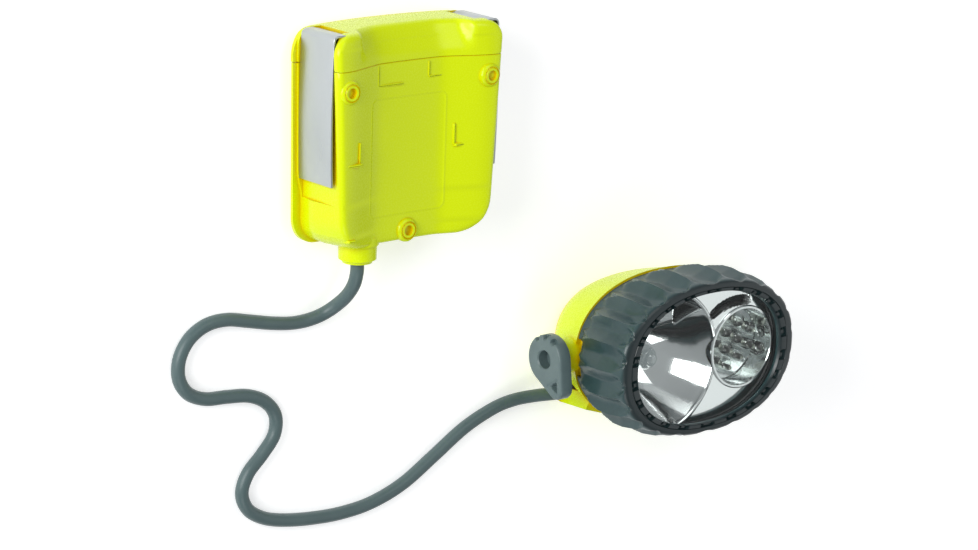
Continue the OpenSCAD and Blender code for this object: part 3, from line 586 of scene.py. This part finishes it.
roll = np.radians(np.linspace(-170, 90, 30))
roll_r = BARREL_R - CLIP_T / 2
curl = np.stack([-PIN_X + roll_r * np.cos(roll), PIN_Y + roll_r * np.sin(roll)], 1)
top_y = PIN_Y + roll_r + 0.4
side_x = -33.3 + CLIP_T / 2
bend_r = 1.5
bend = np.radians(np.linspace(90, 180, 9))
bend_line = np.stack([side_x + bend_r + bend_r * np.cos(bend), top_y - bend_r + bend_r * np.sin(bend)], 1)
down_y = np.linspace(top_y - bend_r - 1, PIN_Y - 46, 34)
belly = ((down_y - down_y[0]) / (down_y[-1] - down_y[0]) * 2 - 1)
down = np.stack([side_x - 0.5 * (1 - belly**2), down_y], 1)
strip_line = np.concatenate([curl, [[-PIN_X - 1.5, top_y], [-PIN_X - 2.8, top_y]], bend_line, down])
steel = Finish("clip_steel", metallic=1.0, roughness=0.3)
brushed = steel.noise(0.25 * MM, 4, (1, 60, 1))
smear = steel.noise(14 * MM, 2, (1, 2, 1))
steel.feed("Base Color", steel.mix(smear, (0.40, 0.43, 0.44, 1), (0.54, 0.57, 0.58, 1)))
steel.feed("Roughness", brushed * 0.22 + smear * 0.1 + 0.16)
steel.relief(brushed, 0.012 * MM, 0.7)
for side, body in ((-1, "left_clip"), (1, "right_clip")):
    flat_line = strip_line * [-side, 1]
    line = np.c_[flat_line, np.full(len(flat_line), sum(CLIP_Z) / 2)]
    name = "clip_left" if side < 0 else "clip_right"
    piece(name + "_strip", [along_path(line, (0, 0, 1), CLIP_W, CLIP_T, 0.3)], case_at, body,
          [name], steel, 40)

# ---------------------------------------------------------------- lamp head, housing
# The head's bowl, moulded in the case's yellow plastic: an oval dish with a boss at each end
# for the selector and the pivot cap, a short boss for the cord, and a neck for the ring.
OVAL, REAR_Z, AXIS_Z = 2.25, 24.0, 20.0


def oval_ring(a, b, z, t):
    """Soft oval: a |cos t|^(2/p), b |sin t|^(2/p), keeping their signs, with p = 2.25."""
    c, s = np.cos(t), np.sin(t)
    x = a * np.sign(c) * np.abs(c)**(2 / OVAL)
    y = b * np.sign(s) * np.abs(s)**(2 / OVAL)
    return np.stack([x, y, z + 0 * x], -1)


def oval_stack(levels, count=160):
    """A closed part from rings of half width, half height and z."""
    t = np.linspace(0, 2 * math.pi, count, endpoint=False)
    levels = np.asarray(levels, float)
    rings = oval_ring(levels[:, 0, None], levels[:, 1, None], levels[:, 2, None], t)
    return rings, capped(len(levels), count)


dish_z = np.array([0, 2.1, 7.1, 13.0, 19.0, 23.7])
dish_a = np.array([27.0, 29.6, 32.8, 35.3, 37.6, 38.9])
dish_b = np.array([17.5, 19.3, 21.6, 23.2, 24.8, 26.0])
fine_z = np.linspace(1.2, 23.4, 22)
wall_out = np.stack([np.interp(fine_z, dish_z, dish_a), np.interp(fine_z, dish_z, dish_b), fine_z], 1)
wall_out[1:-1, :2] = (wall_out[:-2, :2] + 2 * wall_out[1:-1, :2] + wall_out[2:, :2]) / 4
levels = [(2, 1, 0), (25.4, 15.9, 0), (26.3, 16.8, 0.15), (27.2, 17.7, 0.6)] + wall_out.tolist() + [
    (39.0, 26.3, 23.7), (36.9, 24.5, 23.7), (36.8, 24.4, 24.0), (36.8, 24.4, 30.6), (36.5, 24.1, 31),
    (35.0, 22.6, 31), (34.7, 22.3, 30.7), (34.7, 22.2, 24)] + [
    (a - 2.2, b - 2.2, z) for a, b, z in wall_out[::-3].tolist()] + [(24.6, 15.1, 2.3), (2, 1, 2.2)]
boss_profile = [(0, 33.5), (6.0, 33.5), (6.0, 43.5)] + fillet(6.0, 43.5, 5.4, 44.1, 3)[1:] + [(0, 44.1)]
boss_right = turned(boss_profile, (0, 0, AXIS_Z), "x", 64)
boss_left = turned([(r, -h) for r, h in boss_profile], (0, 0, AXIS_Z), "x", 64)
cord_boss = turned([(2.45, -12), (2.45, -26.2), (2.7, -26.8)] + fillet(3.2, -27, 4.45, -25.8, 5) +
                   [(4.45, -12), (2.45, -12)], (0, -18, 7.5), "x")
tab_ring = np.array([[-32, -20.5], [-20, -24.5], [-17, -23.0], [-17, -19], [-29, -16]])
tab_levels = ((0.94, 5.5), (0.985, 6.2), (1.0, 9), (0.985, 22))
tab = np.stack([np.c_[tab_ring * k, np.full(len(tab_ring), h)] for k, h in tab_levels])
bowl_parts = [oval_stack(levels), boss_left, boss_right, cord_boss, (tab, capped(*tab.shape[:2]))]
piece("head_housing_bowl", bowl_parts, head_at, "base", ["head_housing"], yellow)

# ---------------------------------------------------------------- lamp head, fluted ring
# The grip ring, moulded in dark grey elastomer over a hard core. Twenty-two scoops run down its
# side, with a facet at each ridge's rear end and a pocket with a tongue in the face.
FLUTES, RING_A, RING_B = 22, 42.0, 29.0
OPEN_A, OPEN_B, BORE_A, BORE_B, LIP_Z = 32.7, 22.9, 37.6, 25.2, 47.8
STEPS, RING_WALL = 24, 3.4


def fluted_side(z, p, inset):
    """Inset of the ring's side: its own draft, a scoop of 2.9 (1 - |2p - 1|^1.5) that ends in a round
    nose below the face, and a V-shaped facet that is widest at the ridge's rear end. The sum stays
    within the wall over the bore."""
    across = 2 * p - 1
    nose = 49.9 - 3.8 * across**2
    scoop = 2.9 * (1 - np.abs(across)**1.5) * ease((nose - z) / 2.8)
    ridge = np.abs(across)
    facet = 3.0 * np.clip((REAR_Z + 9.0 * (2 * ridge - 1) - z) / 9.0, 0, 1)
    return np.minimum(inset + scoop + facet, RING_WALL)


t = np.linspace(0, 2 * math.pi, FLUTES * STEPS, endpoint=False)
phase = (t * FLUTES / (2 * math.pi)) % 1.0
side_z = np.concatenate([[24.0, 24.15, 24.5], np.linspace(25.2, 46.5, 28), [47.2]])
side_inset = np.interp(side_z, [24, 24.5, 28, 38, 44, 47.5], [2.3, 1.7, 0.3, 0.0, 0.8, 2.0])
inset = fluted_side(side_z[:, None], phase[None, :], side_inset[:, None])
walls_up = oval_ring(RING_A - inset, RING_B - inset, side_z[:, None] + 0 * t, t)
turn = np.linspace(0, math.pi / 2, 8)[1:]
edge_a, edge_b = RING_A - 1.9 - 2.4 * (1 - np.cos(turn)), RING_B - 1.9 - 2.0 * (1 - np.cos(turn))
edge_z = (47.3 + 2.5 * np.sin(turn))[:, None]
edge_cut = fluted_side(edge_z, phase[None, :], 0.0)
edge = oval_ring(edge_a[:, None] - edge_cut, edge_b[:, None] - edge_cut * 0.8, edge_z + 0 * t, t)
f = np.linspace(0, 1, 19)[1:, None]
face_z = 49.8 + 0.2 * np.sin(math.pi * f) - 0.9 * ease((f - 0.86) / 0.14)
in_pocket = (np.abs(phase - 0.5) < 0.21) & (f > 0.34) & (f < 0.86)
on_tongue = (np.abs(phase - 0.5) < 0.09) & (f > 0.54)
face_z = face_z - 1.5 * in_pocket + 0.9 * (on_tongue & in_pocket) - 0.35 * ((f > 0.30) & (f < 0.34))
face = oval_ring(edge_a[-1] + (OPEN_A - edge_a[-1]) * f, edge_b[-1] + (OPEN_B - edge_b[-1]) * f, face_z, t)
inner = np.array([(OPEN_A, OPEN_B, LIP_Z + 0.2), (OPEN_A + 0.2, OPEN_B + 0.2, LIP_Z),
                  (BORE_A, BORE_B, LIP_Z), (BORE_A, BORE_B, 24.3), (BORE_A + 0.3, BORE_B + 0.3, 24.0)])
inside = oval_ring(inner[:, 0, None], inner[:, 1, None], inner[:, 2, None], t)
ring = np.concatenate([walls_up, edge, face, inside, walls_up[:1]], 0)
notch = np.where(np.abs(ring[..., 0]) > 25, 26.4 - 9 * np.clip(np.abs(ring[..., 1]) - 6.4, 0, None), 0)
ring[..., 2] = np.maximum(ring[..., 2], notch)
grip = Finish("ring_elastomer", roughness=0.42, specular_ior_level=0.5)
grip_grain = grip.noise(0.22 * MM, 3)
grip_dust = grip.noise(7 * MM, 4, offset=(1, 5, 2))
grip_rub = grip.noise(1.3 * MM, 5, rough=0.65)
grip_side = grip.mix(grip_dust * 0.6 + grip_rub * 0.4, (0.010, 0.030, 0.032, 1), (0.042, 0.085, 0.089, 1))
on_face = grip.axis(2).above(49.0 * MM, 0.8 * MM)
grip.feed("Base Color", grip.mix(on_face, grip_side, (0.012, 0.022, 0.024, 1)))
grip.feed("Roughness", grip_rub * 0.2 + 0.22)
grip.relief(grip_grain * 0.6 + grip_rub * 0.4, 0.06 * MM, 0.6)
piece("ring_grip", [(ring, [grid_faces(len(ring), len(t))])], head_at, "front_ring", ["bezel"],
      grip, 26)

# ---------------------------------------------------------------- lamp head, lens
# A flat window of clear polycarbonate, 1.6 mm thick, held in the ring on its gasket.
clear = Finish("lens_clear", roughness=0.04, ior=1.5)


def see_through(finish, tint, ior, roughness):
    """Clear plastic: transparent, with a mirror share on its outer face that Fresnel raises."""
    tree = finish.tree
    pane = finish.node("ShaderNodeBsdfTransparent", {}, {"Color": tint})
    gleam = finish.node("ShaderNodeBsdfGlossy", {}, {"Color": (1, 1, 1, 1), "Roughness": roughness})
    outer_face = 1.0 - finish.node("ShaderNodeNewGeometry", {}, {}, "Backfacing")
    share = finish.node("ShaderNodeFresnel", {}, {"IOR": ior}) * outer_face
    both = finish.node("ShaderNodeMixShader", {}, {0: share, 1: pane, 2: gleam})
    end = next(n for n in tree.nodes if n.type == "OUTPUT_MATERIAL")
    tree.links.new(both.socket, end.inputs["Surface"])


see_through(clear, (0.97, 0.985, 0.98, 1), 1.28, 0.03)
lens_levels = [(1, 0.7, 46.2), (37.1, 24.7, 46.2), (37.3, 24.9, 46.4), (37.3, 24.9, 47.6),
               (37.1, 24.7, LIP_Z), (1, 0.7, LIP_Z)]
piece("lens_pane", [oval_stack(lens_levels)], head_at, "front_ring", ["lens"], clear)

# ---------------------------------------------------------------- lamp head, reflector
# One moulding of hard plastic with a vacuum-plated mirror face: a flat plate, a deep bowl round
# the bulb, a banana-shaped slot beside the LED cup, and a three-cornered window in the bowl. The slot
# and the window are shallow dips whose mirror colour is painted near black as shade.
BULB_X, BOWL_R, BOWL_D, PLATE_Z, LED_X, CUP_R = -18.5, 24.5, 22.0, 45.0, 19.0, 14.5
INSERT_A, INSERT_B, HOLE_R = 36.8, 24.4, 6.2


def oval_reach(x0, angle):
    """Distance from (x0, 0) to the reflector's oval edge along each angle, by halving an interval."""
    near, far = np.zeros_like(angle), np.full_like(angle, 80.0)
    for _ in range(40):
        mid = (near + far) / 2
        x, y = x0 + mid * np.cos(angle), mid * np.sin(angle)
        out = np.abs(x / INSERT_A)**OVAL + np.abs(y / INSERT_B)**OVAL > 1
        near, far = np.where(out, near, mid), np.where(out, mid, far)
    return near


def arc_slot(x, y, cx, cy, r, a0, a1, half):
    """Distance inside a slot that follows an arc, in mm: half its width less the distance to it."""
    angle = np.clip(np.arctan2(y - cy, x - cx), a0, a1)
    return half - np.hypot(x - cx - r * np.cos(angle), y - cy - r * np.sin(angle))


bowl_t = np.linspace(0, 2 * math.pi, 420, endpoint=False)
edge_at = oval_reach(BULB_X, bowl_t)
share = np.linspace(0, 1, 110)[:, None]
brink = np.minimum(BOWL_R, edge_at)
r = HOLE_R + (brink - HOLE_R) * share
r = np.concatenate([r, brink + (edge_at - brink) * np.linspace(0, 1, 72)[1:, None]], 0)
x, y = BULB_X + r * np.cos(bowl_t), r * np.sin(bowl_t)
z = PLATE_Z - BOWL_D * (1 - (np.minimum(r, BOWL_R) / BOWL_R)**2)
z = z + 0.35 * np.exp(-((r - BOWL_R - 0.5) / 0.45)**2) * (edge_at > BOWL_R + 1)
slot_in = arc_slot(x, y, LED_X - 3, -3.5, 20.5, math.radians(78), math.radians(122), 1.9)
window_edges = [((-3.2, 8.2), (-0.2, 16.6)), ((-0.2, 16.6), (-8.6, 20.2)), ((-8.6, 20.2), (-3.2, 8.2))]
window_in = np.full(x.shape, 9.0)
for (x0, y0), (x1, y1) in window_edges:
    size = math.hypot(x1 - x0, y1 - y0)
    window_in = np.minimum(window_in, ((x - x0) * (y1 - y0) - (y - y0) * (x1 - x0)) / -size)
crease = ((x - BULB_X) * math.sin(0.62) - y * math.cos(0.62))
z = z - 0.55 * np.exp(-(crease / 0.35)**2) * ease((r - 8) / 3) * (x > BULB_X) * (r < BOWL_R - 6)
# Painted shade: the slot and the window sink 3 mm, and this mask also turns their mirror colour near black
# in place of an opening's shade.
dark = np.maximum(ease(slot_in / 0.5), ease(window_in / 0.8))
z = z - 3.0 * dark
cup_gap = np.hypot(x - LED_X, y)
face_rings = np.stack([x, y, z], -1)
m, n = face_rings.shape[:2]
face_quads = grid_faces(m, n)
keep = cup_gap.reshape(-1)[face_quads].max(1) > CUP_R + 0.1
skirt = np.stack([face_rings[-1], face_rings[-1] - [0, 0, 0.4], face_rings[-1] * [1, 1, 0] + [0, 0, 31]])
skirt_quads = grid_faces(3, n)
plated = Finish("mirror_coat", metallic=1.0, roughness=0.07)
wave = plated.noise(9 * MM, 2)
haze = plated.noise(2.0 * MM, 4)
# Mirror colour, painted near black as shade in the slot and the window.
hole_shade_share = plated.node("ShaderNodeAttribute", {"attribute_name": "hole_painted_shade"}, {}, 2)
plated.feed("Base Color", plated.mix(hole_shade_share, (0.93, 0.94, 0.94, 1), (0.015, 0.02, 0.02, 1)))
plated.feed("Roughness", haze * 0.08 + hole_shade_share * 0.5 + 0.04)
plated.relief(wave, 0.12 * MM, 0.5)
mirror_mesh = bpy.data.meshes.new("reflector_mirror")
mirror_points = np.vstack([face_rings.reshape(-1, 3), skirt.reshape(-1, 3)])
mirror_mesh.from_pydata(mirror_points * MM + head_at, [],
                        face_quads[keep].tolist() + (skirt_quads + m * n).tolist())
mirror_mesh.attributes.new("hole_painted_shade", "FLOAT", "POINT").data.foreach_set(
    "value", np.concatenate([dark.ravel(), np.zeros(3 * n)]).astype(np.float32))
mirror_mesh.polygons.foreach_set("use_smooth", np.ones(len(mirror_mesh.polygons), bool))
mirror_mesh.set_sharp_from_angle(angle=math.radians(40))
mirror = bpy.data.objects.new("reflector_mirror", mirror_mesh)
bpy.context.collection.objects.link(mirror)
plated.dress(mirror)
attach(mirror, "base")
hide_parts("reflector")

# ---------------------------------------------------------------- lamp head, LED cup and LEDs
# A plated cup with a thin raised rim, and fourteen clear 5 mm LEDs on a round board behind it.
cup_profile = [(0, 37.0), (13.3, 37.0)] + fillet(13.3, 37.0, 13.5, 37.6, 3, True) + [
    (13.5, 45.2), (13.7, 45.5), (14.4, 45.55), (14.75, 45.35), (14.8, 45.05), (14.45, 44.9), (14.45, 36.2),
    (0, 36.2)]
cup_coat = Finish("cup_coat", metallic=1.0, roughness=0.12)
cup_haze = cup_coat.noise(1.5 * MM, 3)
cup_coat.feed("Base Color", cup_coat.mix(cup_haze, (0.74, 0.76, 0.76, 1), (0.84, 0.86, 0.86, 1)))
cup_coat.feed("Roughness", cup_haze * 0.12 + 0.06)
cup_coat.relief(cup_haze, 0.05 * MM, 0.5)
piece("led_cup_shell", [turned(cup_profile, (LED_X, 0, 0), "z", 96)], head_at, "base", ["led_cup"],
      cup_coat)
LED_R, LED_PITCH, ROW_SHARE = 2.5, 6, 0.88
spots = [((row - 2) * LED_PITCH * ROW_SHARE, (i - (many - 1) / 2) * LED_PITCH)
         for row, many in enumerate((2, 3, 4, 3, 2)) for i in range(many)]
dome = np.radians(np.linspace(0, 90, 9))
led_profile = [(0, 35.6), (2.9, 35.6), (2.9, 36.6), (LED_R, 36.8), (LED_R, 42.1)] + [
    (LED_R * math.cos(a), 42.1 + LED_R * math.sin(a)) for a in dome[1:-1]] + [(0.02, 44.6)]
anvil_profile = [(0, 37.2), (1.0, 37.2), (1.0, 39.3), (0.75, 39.9), (0.55, 39.55), (0, 39.5)]
epoxy = Finish("led_epoxy", roughness=0.05)
see_through(epoxy, (0.93, 0.95, 0.94, 1), 1.8, 0.04)
piece("led_domes", [turned(led_profile, (LED_X + a, b, 0), "z", 28) for a, b in spots], head_at, "base",
      ["leds"], epoxy, 60)
frame_metal = Finish("led_lead_frame", metallic=1.0, roughness=0.3)
frame_tone = frame_metal.noise(1 * MM)
frame_metal.feed("Base Color", frame_metal.mix(frame_tone, (0.55, 0.55, 0.5, 1), (0.8, 0.8, 0.75, 1)))
piece("led_anvils", [turned(anvil_profile, (LED_X + a, b, 0), "z", 16) for a, b in spots], head_at, "base",
      [], frame_metal)

# ---------------------------------------------------------------- lamp head, bulb
# A small halogen lamp: a glass capsule with a lens tip, two support wires and a coiled filament.
glass = Finish("bulb_quartz", roughness=0.02)
see_through(glass, (0.84, 0.87, 0.87, 1), 2.2, 0.03)
tip = np.radians(np.linspace(0, 86, 8))
bulb_profile = [(0, 25), (4.4, 25)] + [(4.4, 36.0), (4.25, 37.3), (3.75, 38.5), (3.0, 39.3), (2.5, 39.7)] + [
    (2.5 * math.cos(a), 39.7 + 1.4 * math.sin(a)) for a in tip[1:]] + [(0.02, 41.1)]
piece("bulb_capsule", [turned(bulb_profile, (BULB_X, 0, 0), "z", 40)], head_at, "base", ["bulb_glass"],
      glass, 60)
coil_t = np.linspace(0, 14 * math.pi, 160)
coil_line = np.stack([BULB_X - 1.5 + 3.0 * coil_t / coil_t[-1], 0.35 * np.cos(coil_t),
                      33.5 + 0.35 * np.sin(coil_t)], 1)
post = np.linspace(25, 33.5, 12)
wires = [along_path(coil_line, (1, 0, 0), 0.16, 0.16, 0.07)]
wires += [along_path(np.c_[np.full(12, BULB_X + s), np.zeros(12), post], (1, 0, 0), 0.4, 0.4, 0.18)
          for s in (-1.5, 1.5)]
piece("bulb_filament", wires, head_at, "base", [], frame_metal, 60)

# ---------------------------------------------------------------- lamp head, selector lever
# A teardrop lever moulded in grey plastic, pressed on the switch's shaft: a socket for the head
# bracket in its hub, three finger notches in its rim and a three-cornered pit in its tip.
LEVER_X0, LEVER_X1, HUB_R, TIP_R, TIP_AT = -49.5, -44.5, 8.5, 3.6, 10.9
TIP_TURN, PIT_AT = math.radians(146), 10.6
LEVER_EDGE, SOCKET_R = 0.9, 3.5
t = np.linspace(0, 2 * math.pi, 288, endpoint=False)


def turn_from(angle):
    """Angle between t and that angle, 0 to pi, the short way round."""
    return np.abs((t - angle + math.pi) % (2 * math.pi) - math.pi)


away = turn_from(TIP_TURN)
lean = math.acos((HUB_R - TIP_R) / TIP_AT)
touch = math.atan2(TIP_R * math.sin(lean), TIP_AT + TIP_R * math.cos(lean))
tip_reach = TIP_AT * np.cos(away) + np.sqrt(np.clip(TIP_R**2 - (TIP_AT * np.sin(away))**2, 0, None))
flank = HUB_R / np.cos(np.clip(away - lean, -1.4, 1.4))
outline_r = np.where(away < touch, tip_reach, np.where(away < lean, flank, HUB_R))
from_notch = np.min([turn_from(math.radians(a)) for a in (-30, 0, 30)], 0)
notch_cut = 1.3 * ease((0.15 - from_notch) / 0.05)


def lever_ring(radius, x, trim=0.0):
    """One ring of the lever at that radius in the YZ plane, at x, trimmed by the notches."""
    radius = radius - trim * notch_cut + 0 * t
    return np.stack([x + 0 * t, radius * np.cos(t), AXIS_Z + radius * np.sin(t)], -1)


face_share = np.linspace(0, 1, 24)[:, None]
face_r = SOCKET_R + (outline_r - LEVER_EDGE - notch_cut - SOCKET_R) * face_share
face_y, face_up = face_r * np.cos(t), face_r * np.sin(t)
pit_y, pit_z = PIT_AT * math.cos(TIP_TURN), PIT_AT * math.sin(TIP_TURN)
u = (face_y - pit_y) * math.cos(TIP_TURN) + (face_up - pit_z) * math.sin(TIP_TURN)
v = -(face_y - pit_y) * math.sin(TIP_TURN) + (face_up - pit_z) * math.cos(TIP_TURN)
pit = np.minimum(np.minimum(u + 1.6, (2.0 - u) * 0.5 + v * 0.87), (2.0 - u) * 0.5 - v * 0.87)
face_x = LEVER_X0 + 2.4 * ease(pit / 0.5) + 0.25 * ease((pit + 0.9) / 0.5) * (pit < 0.3)
lever_face = np.stack([face_x + 0 * face_y, face_y, AXIS_Z + face_up], -1)
lever_rings = [lever_ring(0.02, -45.4), lever_ring(3.1, -45.4), lever_ring(3.1, -49.1)] + list(lever_face)
lever_rings += [lever_ring(outline_r - LEVER_EDGE * (1 - math.sin(a)),
                           LEVER_X0 + LEVER_EDGE * (1 - math.cos(a)), 1.0)
                for a in np.linspace(0.2, math.pi / 2, 5)]
lever_rings += [lever_ring(outline_r, -47.4, 1.0), lever_ring(outline_r, -47.3, 0.0),
                lever_ring(outline_r + 0.02, -45.1), lever_ring(outline_r - 0.2, LEVER_X1 - 0.1),
                lever_ring(outline_r - 0.6, LEVER_X1), lever_ring(3.2, LEVER_X1), lever_ring(3.0, -44.3),
                lever_ring(3.0, -30.4), lever_ring(2.7, -30.1), lever_ring(0.02, -30.1)]
lever_rings = np.stack(lever_rings)
grey = Finish("lever_plastic", roughness=0.38, specular_ior_level=0.5)
grey_cloud = grey.noise(5 * MM, 3)
grey_grain = grey.noise(0.3 * MM, 3)
grey.feed("Base Color", grey.mix(grey_cloud, (0.075, 0.115, 0.118, 1), (0.12, 0.17, 0.172, 1)))
grey.feed("Roughness", grey_grain * 0.2 + 0.26)
grey.relief(grey_grain, 0.05 * MM, 0.5)
piece("lever_arm", [(lever_rings, [grid_faces(len(lever_rings), len(t))])], head_at, "selector",
      ["selector_lever"], grey)
cap_profile = [(0, 45.4), (3.1, 45.4), (3.1, 49.1), (3.5, 49.5), (4.6, 49.5), (4.8, 49.2), (5.4, 49.2),
               (5.6, 49.5)] + fillet(7.2, 49.5, 8.0, 48.6, 5)
cap_profile += [(8.0, 44.7), (7.8, 44.5), (3.0, 44.4), (3.0, 34.2), (0, 34.2)]
piece("pivot_cap_disc", [turned(cap_profile, (0, 0, AXIS_Z), "x", 72)], head_at, "base", ["pivot_cap"],
      grey)

# ---------------------------------------------------------------- cells
# Four AA cells, each in a printed sleeve shrunk over a steel can, with a bare nub and rims.
CELL_Y0, CELL_Y1, CELL_R = -28.3, 21.0, 7.25
sleeve = Finish("cell_sleeve", roughness=0.3)
band = (sleeve.axis(1) - float(case_at[1])).above(9 * MM, 0.05 * MM)
sleeve.feed("Base Color", sleeve.mix(band, (0.03, 0.035, 0.04, 1), (0.35, 0.36, 0.37, 1)))
sleeve.relief(sleeve.noise(3 * MM, 2), 0.05 * MM, 0.4)
cell_profile = [(0, CELL_Y0), (6.2, CELL_Y0)] + fillet(6.6, CELL_Y0, CELL_R, CELL_Y0 + 0.7, 4)
cell_profile += fillet(CELL_R, CELL_Y1 - 0.7, 6.5, CELL_Y1, 4)[:-1]
cell_profile += [(6.3, CELL_Y1), (5.6, CELL_Y1 - 0.3), (2.8, CELL_Y1 - 0.3), (2.7, CELL_Y1 + 0.9),
                 (2.3, CELL_Y1 + 1.2), (0, CELL_Y1 + 1.2)]
for number in range(4):
    lo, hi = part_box("cell_%d" % (number + 1))
    cx, cz = (lo[0] + hi[0]) / 2 / MM - case_at[0] / MM, (lo[2] + hi[2]) / 2 / MM
    piece("cell_%d_can" % (number + 1), [turned(cell_profile, (cx, 0, cz), "y", 48)], case_at, "base",
          ["cell_%d" % (number + 1)], sleeve)

# ---------------------------------------------------------------- small fittings
# Gaskets, grommets, pins, contacts, boards and the switch keep their machined shapes. Each gets
# the finish of its real material.
rubber = Finish("gasket_rubber", roughness=0.6)
rubber_tone = rubber.noise(0.8 * MM, 3)
rubber.feed("Base Color", rubber.mix(rubber_tone, (0.012, 0.013, 0.014, 1), (0.03, 0.032, 0.034, 1)))
rubber.relief(rubber_tone, 0.05 * MM, 0.6)
black = Finish("black_moulding", roughness=0.45)
black_tone = black.noise(0.6 * MM, 3)
black.feed("Base Color", black.mix(black_tone, (0.015, 0.016, 0.018, 1), (0.035, 0.037, 0.04, 1)))
black.relief(black_tone, 0.04 * MM, 0.6)
brass = Finish("brass_strip", metallic=1.0, roughness=0.3)
brass_tone = brass.noise(0.3 * MM, 3, (1, 12, 1))
brass.feed("Base Color", brass.mix(brass_tone, (0.62, 0.46, 0.20, 1), (0.78, 0.60, 0.30, 1)))
brass.feed("Roughness", brass_tone * 0.2 + 0.2)
bright = Finish("bright_steel", metallic=1.0, roughness=0.25)
bright_tone = bright.noise(0.4 * MM, 3)
bright.feed("Base Color", bright.mix(bright_tone, (0.42, 0.43, 0.44, 1), (0.60, 0.61, 0.62, 1)))
bright.feed("Roughness", bright_tone * 0.2 + 0.16)
laminate = Finish("board_laminate", roughness=0.4)
weave = laminate.noise(0.4 * MM, 3)
laminate.feed("Base Color", laminate.mix(weave, (0.01, 0.08, 0.03, 1), (0.02, 0.13, 0.05, 1)))
laminate.relief(weave, 0.03 * MM, 0.5)
fittings = {
    rubber: ("lid_seal", "housing_seal", "lens_seal", "lever_seal", "case_grommet", "head_grommet"),
    black: ("contact_carrier", "bulb_holder", "switch_rotor", "switch_base"),
    brass: ("lid_contacts", "end_contacts", "contact_strips", "switch_contacts"),
    bright: ("clip_pin_left", "clip_pin_right", "contact_springs", "lever_clip", "bulb_base"),
    laminate: ("led_board",),
}
for finish, names in fittings.items():
    for name in names:
        finish.dress(frame["nodes"][name])
